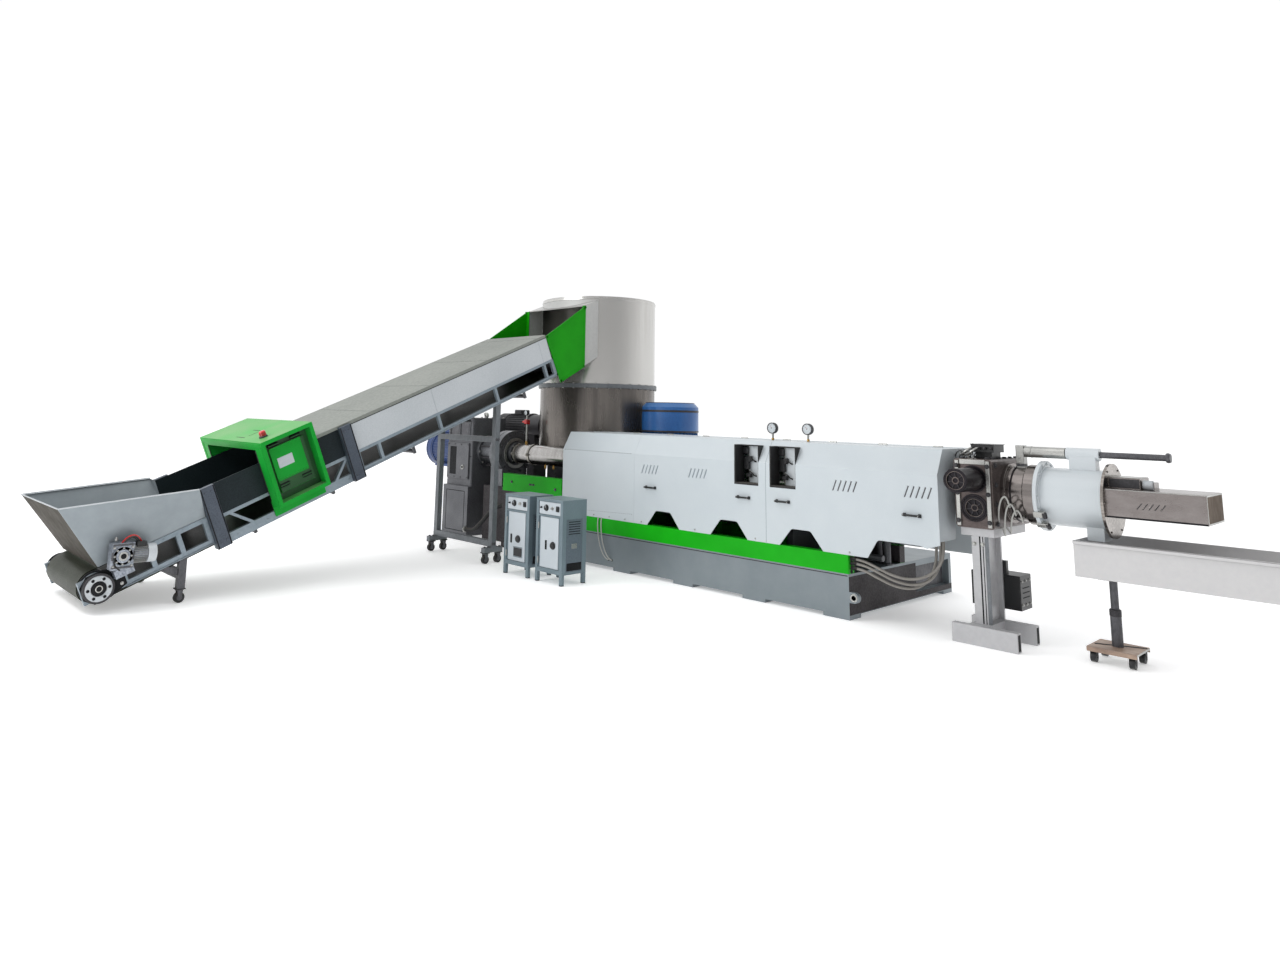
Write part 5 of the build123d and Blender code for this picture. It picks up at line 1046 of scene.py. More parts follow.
def makeDriveTrim(s):
    radius = s["motorRadius"]
    centre = (0, axisY, axisZ)
    motor = [(ribs("x", centre, radius - 0.004, radius + 0.011, -4.93, -4.55, s["motorFins"], 0.006),
              "motorNavy"), (ring(radius - 0.03, radius + 0.012, -4.545, -4.5, "x", centre, 64), "motorNavy"),
             (boltCircle("-x", (-4.5, axisY, axisZ), 0.2, 8, 0.012), "zincSteel"),
             (slab(-4.86, -4.66, axisY - 0.09, axisY + 0.09, axisZ + 0.21, axisZ + 0.315, 0.01), "motorNavy"),
             (slab(-4.87, -4.65, axisY - 0.1, axisY + 0.1, axisZ + 0.3, axisZ + 0.306, 0.002), "plasticBlack"),
             (ring(radius + 0.01, radius + 0.0135, -5.06, -5.052, "x", centre, 64), "insideDark"),
             (ring(radius + 0.01, radius + 0.0135, -4.97, -4.962, "x", centre, 64), "insideDark"),
             (liftingEye(0.036, (-4.76, axisY - 0.02, axisZ + 0.35)), "zincSteel")]
    for side in (-1, 1):
        foot = slab(-4.9, -4.58, axisY + side * 0.12, axisY + side * 0.2, axisZ - 0.235, axisZ - 0.2)
        motor.append((foot, "motorNavy"))
    makePiece("main_motor_trim", motor)

    box = []
    front, left, right = s["boxFront"], s["boxLeft"], s["boxRight"]
    box.append((slab(left + 0.006, right - 0.006, front - 0.003, front + 0.001, 0.995, 1.003, 0.001),
                "insideDark"))
    for z in (1.22, 1.46):
        box.append((slab(left + 0.03, right - 0.03, front - 0.012, front + 0.001, z - 0.012, z + 0.012, 0.003),
                    "castIron"))
    for x in (left + 0.05, left + 0.275, right - 0.05):
        box.append((slab(x - 0.01, x + 0.01, front - 0.012, front + 0.001, 1.22, 1.46, 0.003), "castIron"))
    for x0, x1 in ((left + 0.075, left + 0.25), (left + 0.3, right - 0.075)):
        box += [(placed(flatFrame(x0, x1, 1.25, 1.43, front - 0.004, front + 0.001, 0.006)), "insideDark"),
                (slab(x0, x1, front - 0.002, front + 0.001, 1.25, 1.43, 0.0006), "standDark")]
    for z in (0.73, 1.15):
        box.append((boltRow("-y", (left + 0.06, 1.6157, z), (right - 0.06, 1.6157, z), 4, 0.009), "standDark"))
    box += [(placed(flatFrame(left + 0.07, right - 0.07, 0.05, 0.56, 1.5985, 1.6015, 0.008)), "insideDark"),
            (slab(left + 0.1, left + 0.24, 1.6135, 1.6165, 0.76, 1.12, 0.001), "insideDark")]
    for x in (left + 0.08, right - 0.08):
        box += [(liftingEye(0.038, (x, 1.9, 1.535)), "zincSteel"),
                (disc(0.02, 1.499, 1.512, "z", (x, 1.92, 0), 20), "zincSteel")]
    box += [(turned([(0.022, 1.499), (0.022, 1.53), (0.03, 1.532), (0.03, 1.56), (0.02, 1.57)], "z",
                    (-4.2, 2.05, 0), 24), "plasticBlack"),
            (turned([(0.03, 0), (0.03, 0.008), (0.02, 0.01), (0.019, 0.006)], "-y", (-4.1, 1.6157, 0.86), 28),
             "zincSteel"),
            (disc(0.018, 1.607, 1.614, "y", (-4.1, 0, 0.86), 24), "insideDark")]
    for y in (1.67, 2.17):
        box.append((boltRow("z", (left + 0.03, y, 1.4995), (right - 0.03, y, 1.4995), 5, 0.012), "zincSteel"))
    makePiece("gearbox_trim", box)

    flange = [(boltCircle("x", (-3.389, axisY, axisZ), 0.243, 16, 0.011), "standDark"),
              (boltCircle("-x", (-3.571, axisY, axisZ), 0.243, 16, 0.011), "standDark"),
              (ring(0.15, 0.19, -3.384, -3.37, "x", centre, 56), "zincSteel"),
              (ring(0.276, 0.2815, -3.485, -3.475, "x", centre, 64), "insideDark"),
              (ring(0.19, 0.215, -3.39, -3.382, "x", centre, 56), "castIron"),
              (boltCircle("x", (-3.319, axisY, axisZ), 0.126, 8, 0.008), "zincSteel"),
              (ribs("x", centre, 0.166, 0.2, -3.89, -3.62, 8, 0.014, pi / 8), "darkIron"),
              (boltCircle("x", (-3.89, axisY, axisZ), 0.19, 8, 0.011), "zincSteel"),
              (boltCircle("-x", (-3.62, axisY, axisZ), 0.19, 8, 0.011), "zincSteel")]
    for x in s["bands"]:
        flange += [(ring(0.117, 0.128, x - 0.016, x + 0.016, "x", centre, 48), "heaterBand"),
                   (slab(x - 0.014, x + 0.014, axisY - 0.15, axisY - 0.12, axisZ - 0.012, axisZ + 0.012),
                    "heaterBand"),
                   (placed(boltHead("z", 0.007), (x, axisY - 0.14, axisZ + 0.012)), "zincSteel")]
    for x in s["fittings"]:
        flange.append((placed(fitting("-z", 0.014, 0.05), (x, axisY - 0.05, axisZ - 0.105)), "brassFitting"))
    makePiece("flange_trim", flange)

    x = s["valveX"]
    stem = [(disc(0.012, 1.18, 1.56, "z", (x, axisY, 0), 16), "zincSteel"),
            (placed(fitting("z", 0.018, 0.05), (x, axisY, 1.185)), "brassFitting"),
            (slab(x - 0.03, x + 0.03, axisY - 0.03, axisY + 0.03, 1.44, 1.5, 0.008), "signalRed"),
            (disc(0.014, x - 0.08, x - 0.03, "x", (0, axisY, 1.47), 16), "signalRed"),
            (ring(s["dialRadius"] - 0.004, s["dialRadius"], axisY - 0.03, axisY - 0.002, "y", (x, 0, 1.585),
                  32), "darkIron"), (disc(s["dialRadius"] - 0.002, axisY - 0.025, axisY - 0.004, "y",
                                          (x, 0, 1.585), 32), "pelletWhite")]
    makePiece("valve_stem", stem)

    side = s["sidePlace"]
    motor = [(ribs("x", side, s["sideRadius"] - 0.004, s["sideRadius"] + 0.012, -4.2, -3.8, 32, 0.005),
              "darkIron"), (ring(0.12, s["sideRadius"] + 0.008, -4.4, -4.23, "x", side, 48), "darkIron"),
             (ring(s["sideRadius"] - 0.004, s["sideRadius"] + 0.016, -3.79, -3.765, "x", side, 48), "darkIron"),
             (boltCircle("x", (-3.765, side[1], side[2]), 0.162, 8, 0.008), "zincSteel"),
             (slab(-4.1, -3.95, 2.46, 2.62, 1.55, 1.62, 0.01), "darkIron")]
    makePiece("side_motor_trim", motor)

    # the dark plate behind the panel's frame is painted shade, like the feed base
    panel = [(placed(flatFrame(-2.905, -2.055, 0.105, 0.555, 1.494, 1.5, 0.02)), "standDark"),
             (slab(-2.884, -2.076, 1.4965, 1.5005, 0.126, 0.534, 0.001), "baseDark")]
    for x in np.linspace(-2.86, -2.1, 6):
        panel.append((slab(x - 0.003, x + 0.003, 1.493, 1.4975, 0.15, 0.51, 0.001), "standDark"))
    for z in (0.045, 0.615):
        panel.append((boltRow("-y", (-2.95, 1.4397, z), (-2.01, 1.4397, z), 8, 0.01), "standDark"))
    panel += [(boltRow("-y", (-2.84, 1.4397, 0.77), (-2.06, 1.4397, 0.74), 2, 0.013), "standDark"),
              (slab(-2.52, -2.42, 1.4365, 1.4405, 0.752, 0.772, 0.002), "standDark"),
              (boltRow("-y", (-2.5, 1.4367, 0.762), (-2.44, 1.4367, 0.762), 2, 0.009), "plasticBlack")]
    makePiece("feed_base_panel", panel)


makeDriveTrim(driveTrim)
print("drive end dressed")

# --- covers: seams, vents, windows, handles, gauges and the rear doors
coverTrim = {"break": 1.195, "slant": 0.111, "seams": ((-0.85, "cabinetPale"), (0.749, "cabinetBlue")),
             "ventGroups": (-0.757, -0.144, 1.398, 2.019), "ventLow": 1.012, "ventHigh": 1.098,
             "ventPitch": 0.046, "ventLean": 0.034, "windows": (0.407, 0.791), "windowWide": 0.264,
             "windowLow": 0.99, "windowHigh": 1.345, "handles": (-0.621, 0.509, 0.924, 2.089),
             "gauges": (0.547, 0.927), "arches": (-0.458, 0.339, 1.098),
             "doors": ((-1.86, -0.62), (-0.56, 0.68), (0.74, 1.98)), "gaugeHeight": 1.4983, "dialMarks": 11,
             "foldMarks": (-1.915, 0.04, 26), "lowHoles": (-1.523, 0.028, 24), "ventSlots": 5}


def makeCoverTrim(s):
    y = frontY
    parts = []
    for x, finish in s["seams"]:
        parts += [(slab(x - 0.0015, x + 0.0015, y - 0.0006, y + 0.001, 0.512, s["break"], 0.0003), finish),
                  (plank((x - 0.0015, y, s["break"]), (x - 0.0015, y + s["slant"], coverTop - 0.001), 0.003,
                         0.0014, (1, 0, 0)), finish)]
    first, pitch, count = s["foldMarks"]
    for x in first + pitch * np.arange(count):
        parts.append((slab(x, x + 0.02, y - 0.0008, y + 0.001, s["break"] - 0.003, s["break"] + 0.001, 0.0003),
                      "insideDark"))
    first, pitch, count = s["lowHoles"]
    for k in range(count):
        place = (first + k * pitch, y, 0.568 + k * 0.0009)
        parts.append((disc(0.0032, 0, 0.0012, "-y", place, 8), "insideDark"))
    for x in np.linspace(coverLeft + 0.05, 1.55, 16):
        if all(abs(x - centre) > 0.24 for centre in s["arches"]):
            parts.append((placed(boltHead("-y", 0.006), (x, y, 0.53)), "zincSteel"))
    parts.append((slab(coverLeft, coverRight, axisY - 0.016, axisY + 0.016, coverTop - 0.0005,
                       coverTop + 0.0025, 0.001), "housingPaint"))
    for x in np.linspace(coverLeft + 0.2, coverRight - 0.2, 9):
        parts.append((disc(0.008, x - 0.04, x + 0.04, "x", (0, axisY, coverTop + 0.006), 12), "zincSteel"))
    makePiece("cover_seams", parts)

    vents = []
    for start in s["ventGroups"]:
        dark = "framePaint" if start < 0 else "standDark"
        for x in start + 0.008 + s["ventPitch"] * np.arange(s["ventSlots"]):
            low, high = (x, y - 0.0004, s["ventLow"]), (x + s["ventLean"], y - 0.0004, s["ventHigh"])
            vents += [(plank(low, high, 0.011, 0.001, (1, 0, 0)), dark),
                      (plank((x - 0.004, y - 0.002, s["ventLow"]),
                             (x - 0.004 + s["ventLean"], y - 0.002, s["ventHigh"]), 0.006, 0.006, (1, 0, 0)),
                       "housingPaint")]
    makePiece("cover_vents", vents)

    liners, inside = [], []
    for x0 in s["windows"]:
        x1 = x0 + s["windowWide"]
        low, high = s["windowLow"], s["windowHigh"]
        liners += [(slab(x0 - 0.001, x0 + 0.012, y + 0.0015, y + 0.14, low, high, 0.002), "rubberBlack"),
                   (slab(x0, x1, y - 0.0015, y + 0.12, low - 0.002, low + 0.016, 0.002), "rubberBlack"),
                   (slab(x1 - 0.004, x1 + 0.001, y + 0.0015, y + 0.12, low, high, 0.001), "rubberBlack"),
                   (plank((x0, y + 0.101, high), (x1, y + 0.101, high), 0.012, 0.008, (0, 0, -1)),
                    "rubberBlack")]
        inside += [(slab(x0 + 0.055, x1 + 0.06, y + 0.15, y + 0.154, low - 0.06, high + 0.02), "pelletWhite"),
                   (placed(flatFrame(x0 + 0.055, x1 + 0.06, low - 0.06, high + 0.02, y + 0.146, y + 0.15,
                                     0.012)), "zincSteel")]
        for dx, dz, wide, tall in ((0.03, 0.13, 0.05, 0.11), (0.07, 0.2, 0.035, 0.05), (0.02, 0.27, 0.05, 0.06),
                                   (0.05, 0.06, 0.05, 0.035)):
            inside.append((slab(x0 + dx, x0 + dx + wide, y + 0.11, y + 0.146, low + dz, low + dz + tall, 0.004),
                           "plasticBlack"))
        for dz in (0.1, 0.23):
            inside.append((tube([(x0 + 0.07, y + 0.13, low + dz), (x0 + 0.1, y + 0.11, low + dz + 0.02),
                                 (x0 + 0.13, y + 0.12, low + dz - 0.02),
                                 (x0 + 0.14, y + 0.148, low + dz - 0.03)], 0.006, 8), "rubberBlack"))
    makePiece("window_liners", liners)
    makePiece("window_inside", inside)

    grips = []
    for x in s["handles"]:
        for dx in (-0.0605, 0.0605):
            grips += [(slab(x + dx - 0.013, x + dx + 0.013, y - 0.0045, y + 0.001, 0.862, 0.89, 0.002),
                       "plasticBlack"),
                      (placed(boltHead("-y", 0.004, False), (x + dx, y - 0.0325, 0.876)), "zincSteel")]
    makePiece("handle_feet", grips)

    dials, z = [], s["gaugeHeight"]
    for x in s["gauges"]:
        centre, face = (x, 0, z), axisY - 0.078
        dials += [(ring(0.0435, 0.0515, face - 0.005, face + 0.03, "y", centre, 48), "darkIron"),
                  (disc(0.045, face - 0.002, face + 0.001, "y", centre, 48, 0.0005), "pelletWhite")]
        for k in range(s["dialMarks"]):
            angle = -0.75 + k * 1.5 * pi / (s["dialMarks"] - 1)
            tip = np.array([cos(angle), 0, sin(angle)])
            start = np.array([x, face - 0.0022, z]) + tip * 0.032
            dials.append((plank(start, start + tip * 0.008, 0.0016, 0.0006, np.cross(tip, (0, 1, 0))),
                          "insideDark"))
        dials += [(plank((x, face - 0.0032, z), (x - 0.02, face - 0.0032, 1.521), 0.002, 0.0008, (1, 0, 1)),
                   "signalRed"),
                  (disc(0.004, face - 0.0045, face - 0.002, "y", centre, 12), "insideDark"),
                  (placed(fitting("z", 0.014, 0.03), (x, axisY - 0.06, coverTop)), "brassFitting")]
    makePiece("gauge_dials", dials)

    rear = []
    back = 2 * axisY - frontY
    for x0, x1 in s["doors"]:
        rear.append((placed(flatFrame(x0, x1, 0.58, 1.16, back - 0.001, back + 0.0008, 0.003, 0.0003)),
                     "insideDark"))
        for x in (x0 + 0.12, x1 - 0.12):
            rear.append((disc(0.008, x - 0.05, x + 0.05, "x", (0, back + 0.004, 1.163), 12), "zincSteel"))
        for dz in (0.0, 0.05, 0.1):
            row = slab(x0 + 0.4, x0 + 0.84, back - 0.001, back + 0.004, 0.95 + dz, 0.958 + dz, 0.001)
            rear += [(row, "housingPaint"),
                     (slab(x0 + 0.4, x0 + 0.84, back - 0.001, back + 0.0012, 0.94 + dz, 0.95 + dz, 0.0004),
                      "insideDark")]
        middleX = (x0 + x1) / 2
        rear.append((tube([(middleX - 0.06, back, 0.7), (middleX - 0.06, back + 0.022, 0.7),
                           (middleX - 0.05, back + 0.026, 0.7), (middleX + 0.05, back + 0.026, 0.7),
                           (middleX + 0.06, back + 0.022, 0.7), (middleX + 0.06, back, 0.7)], 0.006, 8),
                     "plasticBlack"))
    makePiece("rear_doors", rear)


makeCoverTrim(coverTrim)
print("covers dressed")

# --- base: cable holes, end plate, lug and the thin cables in front
baseTrim = {"holes": ((0.05, 0.475), (0.045, 0.44), (0.05, 0.405), (0.045, 0.375)),
            "underArch": ((1.5, 2.16, 0.03, 0.6, "castIron"), (1.41, 2.2, 0.022, 0.6, "standDark"),
                          (1.33, 2.12, 0.03, 0.6, "castIron"), (1.22, 2.18, 0.02, 0.6, "zincSteel"))}


def makeBaseTrim(s):
    end = endX
    parts = []
    for dy, z in s["holes"]:
        parts += [(ring(0.011, 0.017, end - 0.004, end + 0.004, "x", (0, frontY + dy, z), 20), "rubberBlack"),
                  (disc(0.011, end - 0.002, end + 0.001, "x", (0, frontY + dy, z), 20), "insideDark")]
    # the dark plates over the base's end face are painted shade
    parts += [(slab(end - 0.0605, end - 0.058, 2.6, 3.26, 0.085, 0.3, 0.001), "standDark"),
              (slab(end - 0.001, end + 0.0015, frontY + 0.001, 2.6, 0.036, 0.335, 0.0006), "baseDark"),
              (slab(end - 0.001, end + 0.0015, 2.6, 3.316, 0.036, 0.084, 0.0006), "baseDark")]
    # the far rail's end and the things on the base that show under the arch
    railY = 2 * axisY - frontY
    parts += [(slab(end - 0.001, end + 0.0012, railY - 0.09, railY, 0.359, 0.506, 0.0005), "baseDark"),
              (slab(0.95, end, railY - 0.0915, railY - 0.0895, 0.359, 0.506, 0.0005), "baseDark")]
    for x, y, radius, top, finish in s["underArch"]:
        parts += [(disc(radius, 0.3565, top, "z", (x, y, 0), 24), finish),
                  (disc(radius * 1.7, 0.3565, 0.37, "z", (x, y, 0), 24), "standDark")]
    parts.append((disc(0.028, 1.1, 1.52, "x", (0, 2.05, 0.42), 24), "castIron"))
    lug = (endX + 0.04, frontY, 0.1785)
    for face, out in ((0.0, "-y"), (0.04, "y")):
        parts.append((turned([(0.019, 0.0), (0.02, 0.004), (0.03, 0.005), (0.034, 0.0)], out,
                             (lug[0], lug[1] + face, lug[2]), 32), "zincSteel"))
    parts.append((slab(coverLeft + 0.01, endX - 0.01, frontY - 0.0012, frontY + 0.001, 0.338, 0.345, 0.0004),
                  "baseDark"))
    makePiece("base_details", parts)

    thin = []
    for k in range(2):
        x = -1.36 + 0.05 * k
        route = [(x, frontY + 0.004, 0.512), (x, frontY - 0.012, 0.5), (x + 0.02, frontY - 0.03, 0.36),
                 (x + 0.07, frontY - 0.035, 0.2), (x + 0.13, frontY - 0.02, 0.11),
                 (x + 0.16, frontY + 0.002, 0.1)]
        thin += [(tube(route, 0.006, 8), "hoseWhite"),
                 (ring(0.006, 0.012, frontY - 0.003, frontY + 0.001, "y", (x + 0.16, 0, 0.1), 16),
                  "rubberBlack")]
    makePiece("front_cables", thin)


makeBaseTrim(baseTrim)
print("base end dressed")

# --- pelletizer: ring, hoses, flange bolts, clamps, cutter box and guide rod
headTrim = {"ringLeft": 2.65, "flangeX": 2.885, "discX": 3.326, "boxLeft": 3.344, "boxRight": 3.924,
            "boxFront": 1.7007, "boxLow": 0.974, "boxHigh": 1.166,
            "bossLeft": 3.0545}


def makeHeadTrim(s):
    centre = (0, axisY, axisZ)
    ringLeft = s["ringLeft"]
    parts = [(ring(0.2, 0.2215, ringLeft + 0.15, ringLeft + 0.228, "x", centre, 72, 0.006), "ringSteel"),
             (ring(0.199, 0.209, ringLeft + 0.06, ringLeft + 0.068, "x", centre, 64), "pistonDark"),
             (slab(ringLeft + 0.045, ringLeft + 0.13, axisY - 0.045, axisY + 0.045, 1.262, 1.274, 0.002),
              "zincSteel")]
    for k, (turn, drop) in enumerate(((3.5, 0.12), (3.75, 0.16), (4.0, 0.1))):
        out = np.array([0, cos(turn), sin(turn)])
        root = np.array([ringLeft + 0.07 + 0.03 * k, axisY, axisZ]) + out * 0.198
        parts.append((placed(fitting("z", 0.01, 0.03), root, [[1, 0, 0], np.cross(out, (1, 0, 0)), out]),
                      "zincSteel"))
        tip = root + out * 0.035
        route = [tip, tip + out * 0.03, tip + out * 0.06 + (0.02, -0.02, 0.04), tip + (0.0, -0.1, 0.1),
                 tip + (-0.05, -0.09, 0.02), tip + (-0.07, -0.06, -drop), tip + (-0.09, 0.02, -drop - 0.02),
                 (ringLeft - 0.02, 1.66 + 0.05 * k, 0.86), (ringLeft - 0.02, 1.7 + 0.05 * k, 0.9)]
        parts.append((tube(route, 0.006, 10), "hoseWhite"))
    makePiece("water_ring_trim", parts)

    flange, right = s["flangeX"], s["discX"]
    head = [(boltCircle("x", (flange + 0.026, axisY, axisZ), 0.234, 16, 0.008), "pelletWhite"),
            (ring(0.206, 0.222, flange + 0.024, flange + 0.034, "x", centre, 64), "pelletWhite"),
            (ring(0.206, 0.2115, right - 0.03, right - 0.006, "x", centre, 64), "pelletWhite")]
    for turn in (pi + 0.5, pi + 0.9, pi - 2.6):
        out = np.array([0, cos(turn), sin(turn)])
        along = np.cross(out, (1, 0, 0))
        block = slab(-0.03, 0.05, -0.022, 0.022, -0.012, 0.022, 0.004)
        head.append((placed(block, np.array([flange + 0.02, axisY, axisZ]) + out * 0.243,
                            [(1, 0, 0), along, out]), "zincSteel"))
        eye = ring(0.007, 0.016, -0.02, 0.02, "y", (0.05, 0, 0.01), 20)
        head.append((placed(eye, np.array([flange + 0.02, axisY, axisZ]) + out * 0.25, [(1, 0, 0), along, out]),
                     "darkIron"))
    glassX = flange + 0.24
    head += [(turned([(0.07, 0.196), (0.07, 0.222), (0.05, 0.226), (0.048, 0.214)], "y",
                     (glassX, axisY, axisZ), 40), "zincSteel"),
             (disc(0.048, 0.2, 0.217, "y", (glassX, axisY, axisZ), 40), "insideDark"),
             (boltCircle("y", (glassX, axisY + 0.224, axisZ), 0.06, 8, 0.005), "zincSteel")]
    makePiece("hood_trim", head, body="pelletizer_head")

    box = []
    left, right, front, low, high = s["boxLeft"], s["boxRight"], s["boxFront"], s["boxLow"], s["boxHigh"]
    back = 2 * axisY - front
    hole = np.array([left, axisY - 0.2, axisZ + 0.13])
    box += [(disc(0.014, -0.001, 0.0012, "x", hole, 20, 0.0004), "insideDark"),
            (boltCircle("x", (left, axisY, axisZ), 0.238, 6, 0.006), "polishedSteel")]
    # a dark strip along the bottom and a bright strip along the top of both long faces: painted shade and painted
    # highlight
    for z0, z1, finish in ((low + 0.001, low + 0.012, "insideDark"), (high - 0.006, high - 0.001, "zincSteel")):
        for face in (front, back):
            box.append((slab(left + 0.004, right - 0.002, face - 0.0012, face + 0.0012, z0, z1, 0.0004),
                        finish))
    for k in range(5):
        x = 3.53 + k * 0.034
        box += [(plank((x, front - 0.0006, 1.045), (x + 0.03, front - 0.0006, 1.085), 0.005, 0.0014,
                       (1, 0, 0)), "darkIron"),
                (plank((x - 0.004, front - 0.001, 1.045), (x + 0.026, front - 0.001, 1.085), 0.002, 0.002,
                       (1, 0, 0)), "boxSteel")]
    # the end face: a dull brown plate, painted shade, in a bright frame, a painted highlight
    box += [(slab(right - 0.001, right + 0.0008, front + 0.012, back - 0.012, low + 0.012, high - 0.012,
                  0.0003), "endShadeBrown"),
            (placed(flatFrame(front + 0.001, back - 0.001, low + 0.001, high - 0.001, -0.001, 0.0016, 0.011),
                    (right, 0, 0), [[0, 1, 0], [1, 0, 0], [0, 0, 1]]), "zincSteel")]
    # the knife's drive on the box
    box += [(slab(3.348, 3.53, 1.8065, 1.8085, 1.172, 1.232, 0.0006), "darkIron"),
            (slab(3.346, 3.53, 1.808, 2.033, 1.2405, 1.2435, 0.001), "zincSteel"),
            (disc(0.032, 3.54, 3.6, "x", (0, axisY - 0.06, 1.198), 32), "panelGrey")]
    makePiece("cutter_box_trim", box, body="pelletizer_head")

    low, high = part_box("guide_rod")
    # the rod is dark, its sleeve and post are bright
    bossLeft = s["bossLeft"]
    rod = [(ring(0.0396, 0.0408, low.x + 0.0575, bossLeft - 0.004, "x", (0, axisY, axisZ + 0.315), 40),
            "zincSteel"), (slab(low.x - 0.0006, low.x + 0.0568, axisY - 0.0356, axisY + 0.0356, 1.2935, 1.4306,
                                0.002), "zincSteel"), (ring(0.02, 0.034, high.x - 0.025, high.x - 0.004, "x",
                                                            (0, axisY, axisZ + 0.315), 32, 0.006), "standDark"),
           (disc(0.016, high.x - 0.006, high.x - 0.001, "x", (0, axisY, axisZ + 0.315), 24), "zincSteel"),
           (ring(0.04, 0.0425, low.x + 0.1, low.x + 0.11, "x", (0, axisY, axisZ + 0.315), 32), "zincSteel"),
           (boltRow("-y", (low.x + 0.028, axisY - 0.035, 1.3), (low.x + 0.028, axisY - 0.035, 1.34), 2, 0.007),
            "zincSteel")]
    makePiece("guide_trim", rod)


makeHeadTrim(headTrim)
print("pelletizer dressed")

# --- outlet trough and its jack stands
troughTrim = {"left": 3.153, "right": 5.078, "front": 1.6147, "back": 2.2267, "top": 0.805,
              "jacks": (3.318, 4.915), "jackY": 1.8407}


def makeTroughTrim(s):
    parts = []
    for face, out in ((s["front"], -1), (s["back"], 1)):
        parts += [(slab(s["left"], s["right"], face, face + out * 0.014, s["top"] - 0.004, s["top"], 0.001),
                   "troughSteel"),
                  (slab(s["left"], s["right"], face + out * 0.012, face + out * 0.014, s["top"] - 0.022,
                        s["top"], 0.0006), "troughSteel")]
    makePiece("trough_folds", parts)

    jacks = []
    y = s["jackY"]
    for x in s["jacks"]:
        jacks += [(turned([(0.0335, 0.3), (0.037, 0.304), (0.037, 0.344), (0.03, 0.35), (0.0245, 0.35)], "z",
                          (x, y, 0), 28), "darkIron"),
                  (ring(0.024, 0.0252, 0.35, 0.54, "z", (x, y, 0), 28), "standDark"),
                  (ring(0.0335, 0.0347, 0.104, 0.302, "z", (x, y, 0), 28), "standDark"),
                  (slab(x - 0.09, x + 0.02, y - 0.03, y + 0.03, 0.533, 0.563, 0.003), "plasticBlack"),
                  (slab(x - 0.15, x + 0.15, y - 0.15, y + 0.15, 0.1008, 0.1035, 0.001), "plateBrown")]
        for end in (-1, 1):
            jacks.append((slab(x - 0.15, x + 0.15, y + end * 0.1495, y + end * 0.151, 0.072, 0.1005, 0.0006),
                          "plateBrown"))
        stripe = plank((x - 0.14, y - 0.02, 0.1042), (x + 0.14, y + 0.12, 0.1042), 0.03, 0.0012, (0, -1, 0))
        jacks.append((stripe, "insideDark"))
        for side in (-1, 1):
            for end in (-1, 1):
                wheel = (x + side * 0.115, y + end * 0.115, 0.0355)
                jacks.append((turned([(0.0345, -0.017), (0.0355, -0.012), (0.0355, 0.012), (0.0345, 0.017),
                                      (0.02, 0.0185), (0.002, 0.0185), (0.002, -0.0185), (0.02, -0.0185)], "x",
                                     wheel, 28, wrap=True), "plasticBlack"))
                for face in (0.021, -0.021):
                    fork = prism([(-0.016, 0.04), (0.016, 0.04), (0.009, -0.009), (-0.009, -0.009)], 0, 0.0025)
                    jacks.append((placed(fork, (wheel[0] + face, wheel[1], wheel[2]), axesFor["x"]),
                                  "darkIron"))
    makePiece("jack_details", jacks)


makeTroughTrim(troughTrim)
print("trough dressed")

# --- control cabinets: panels, knobs, switches, slots
cabinetTrim = {"width": 0.38, "front": 0.4507, "depth": 0.31, "panelLow": (0.139, 0.606),
               "panelHigh": (0.629, 0.746), "knobRow": ((0.07, 0.008, "insideDark"),
                                                        (0.14, 0.026, "plasticBlack"),
                                                        (0.23, 0.014, "zincSteel")),
               "cabinets": (("left_cabinet_panel", -1.7053, 0.108, 0.105, True),
                            ("right_cabinet_panel", -1.2153, 0.145, 0.1, False)), "louvres": (0.46, 0.022, 6)}


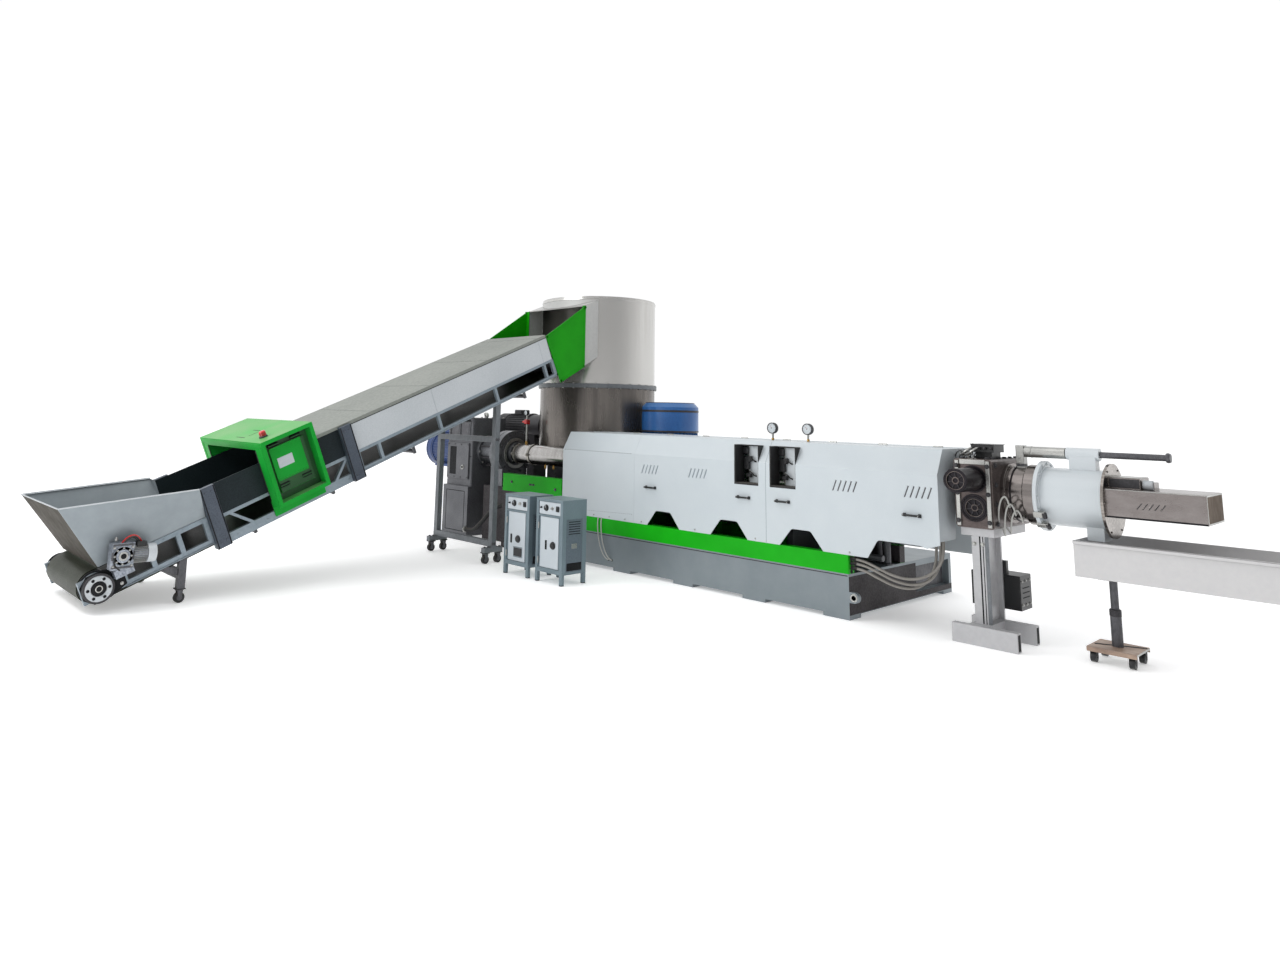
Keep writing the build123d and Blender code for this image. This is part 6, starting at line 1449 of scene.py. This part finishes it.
def makeCabinetTrim(s):
    for name, left, slit, knob, socket in s["cabinets"]:
        right, face = left + s["width"], s["front"] + 0.0045
        parts = []
        for (low, high), inset in ((s["panelLow"], 0.06), (s["panelHigh"], 0.037)):
            parts.append((slab(left + inset, right - inset, face, s["front"] + 0.011, low, high, 0.002),
                          "cabinetPale"))
        for dx, radius, finish in s["knobRow"]:
            parts.append((turned([(radius * 1.2, 0), (radius * 1.2, 0.002), (radius, 0.003),
                                  (radius * 0.92, 0.016), (radius * 0.8, 0.018), (0.001, 0.018)], "-y",
                                 (left + dx, face, 0.69), 28), finish))
        parts += [(slab(left + 0.14 - 0.003, left + 0.14 + 0.003, face - 0.0195, face - 0.016, 0.692, 0.714,
                        0.0008), "cabinetPale"),
                  (slab(left + 0.285, left + 0.325, face - 0.012, face + 0.001, 0.665, 0.715, 0.003),
                   "plasticBlack"),
                  (slab(left + 0.295, left + 0.315, face - 0.016, face - 0.011, 0.675, 0.705, 0.002),
                   "rubberBlack"),
                  (slab(left + slit - 0.011, left + slit + 0.011, face - 0.006, face + 0.001, 0.305, 0.39,
                        0.002), "insideDark"),
                  (turned([(0.036, 0), (0.036, 0.003), (0.029, 0.005), (0.028, 0.016), (0.002, 0.018)], "-y",
                          (left + slit + knob, face, 0.35), 28), "plasticBlack")]
        if socket:
            parts += [(slab(left + 0.155, left + 0.275, face - 0.008, face + 0.001, 0.185, 0.265, 0.003),
                       "plasticBlack"),
                      (placed(flatFrame(left + 0.145, left + 0.285, 0.175, 0.275, face - 0.002, face + 0.001,
                                        0.006)), "cabinetBlue")]
        # the darker plate on the cabinet's right side is painted shade
        parts.append((slab(right - 0.0008, right + 0.001, s["front"] + 0.05, s["front"] + 0.26, 0.12, 0.6,
                           0.0004), "cabinetShade"))
        first, pitch, count = s["louvres"]
        for z in first + pitch * np.arange(count):
            parts.append((slab(right + 0.0004, right + 0.002, s["front"] + 0.08, s["front"] + 0.23, z,
                               z + 0.008, 0.0004), "insideDark"))
        parts += [(slab(right + 0.0008, right + 0.003, s["front"] + 0.12, s["front"] + 0.19, 0.33, 0.375,
                        0.001), "zincSteel"),
                  (slab(right + 0.0004, right + 0.002, s["front"] + 0.06, s["front"] + 0.25, 0.13, 0.2,
                        0.0005), "insideDark")]
        for z in (0.2, 0.52):
            parts.append((disc(0.006, z - 0.03, z + 0.03, "z", (left + 0.036, face - 0.003, 0), 12),
                          "zincSteel"))
        parts.append((slab(left - 0.002, right + 0.002, s["front"] - 0.002, s["front"] + s["depth"] + 0.002,
                           0.768, 0.7765, 0.002), "cabinetBlue"))
        for x in (left + 0.017, right - 0.017):
            for y in (s["front"] + 0.017, s["front"] + s["depth"] - 0.017):
                parts.append((disc(0.022, 0.0005, 0.008, "z", (x, y, 0), 20), "rubberBlack"))
        makePiece(name, parts)


makeCabinetTrim(cabinetTrim)
print("cabinets dressed")

# --- floor, light and sky
stageStyle = {"floorSize": 60, "floorColour": (255, 255, 255), "floorGlow": 0.3, "skyStrength": 1.02,
              "skyLow": 0.45, "skyColour": (0.99, 0.995, 1.0), "darkSide": (0.86, -0.5, 0.1)}


def makeStage(style):
    half = style["floorSize"]
    corners = np.array([(-half, -half, -0.001), (half, -half, -0.001), (half, half, -0.001),
                        (-half, half, -0.001)])
    mesh = bpy.data.meshes.new("floor")
    mesh.from_pydata(corners, [], [(0, 1, 2, 3)])
    floor = bpy.data.objects.new("floor", mesh)
    bpy.context.scene.collection.objects.link(floor)
    material = bpy.data.materials.new("paleFloor")
    material.use_nodes = True
    shader = material.node_tree.nodes["Principled BSDF"]
    shader.inputs["Base Color"].default_value = screenColour(*style["floorColour"])
    shader.inputs["Roughness"].default_value = 0.85
    shader.inputs["Emission Color"].default_value = (1, 1, 1, 1)
    shader.inputs["Emission Strength"].default_value = style["floorGlow"]
    mesh.materials.append(material)
    world = bpy.data.worlds.new("sky")
    bpy.context.scene.world = world
    world.use_nodes = True
    tree = world.node_tree
    direction = addNode(tree, "TexCoord").outputs["Generated"]
    # the sky darkens towards darkSide, which is behind and to the right of the camera
    towards = addNode(tree, "VectorMath", {0: direction, 1: style["darkSide"]}, operation="DOT_PRODUCT")
    strength = remap(tree, towards.outputs["Value"], 0.15, 0.9, style["skyStrength"], style["skyLow"])
    sky = tree.nodes["Background"]
    sky.inputs[0].default_value = (*style["skyColour"], 1)
    tree.links.new(strength, sky.inputs[1])
    bpy.context.scene.view_settings.view_transform = "Standard"


def makeLight(name, place, target, size, power, warmth=(1, 1, 1)):
    data = bpy.data.lights.new(name, "AREA")
    data.shape, data.size, data.size_y = "RECTANGLE", *size
    data.energy, data.color = power, warmth
    light = bpy.data.objects.new(name, data)
    bpy.context.scene.collection.objects.link(light)
    away = np.array(place, float) - np.array(target, float)
    away /= np.linalg.norm(away)
    side = np.cross((0, 0, 1.0), away)
    side /= np.linalg.norm(side)
    turn = np.eye(4)
    turn[:3, 0], turn[:3, 1], turn[:3, 2], turn[:3, 3] = side, np.cross(away, side), away, place
    light.matrix_world = Matrix(turn.tolist())


makeStage(stageStyle)
makeLight("overhead", (-2, -1, 7), (-2, 1, 0), (8, 5), 90)
makeLight("leftFill", (-2.6, -4.5, 3.4), (-1.8, 1.4, 0.9), (2.5, 1.5), 85)
makeLight("frontFill", (-5, -8, 5), (-1, 1, 1), (5, 3), 110)
print("stage lit")
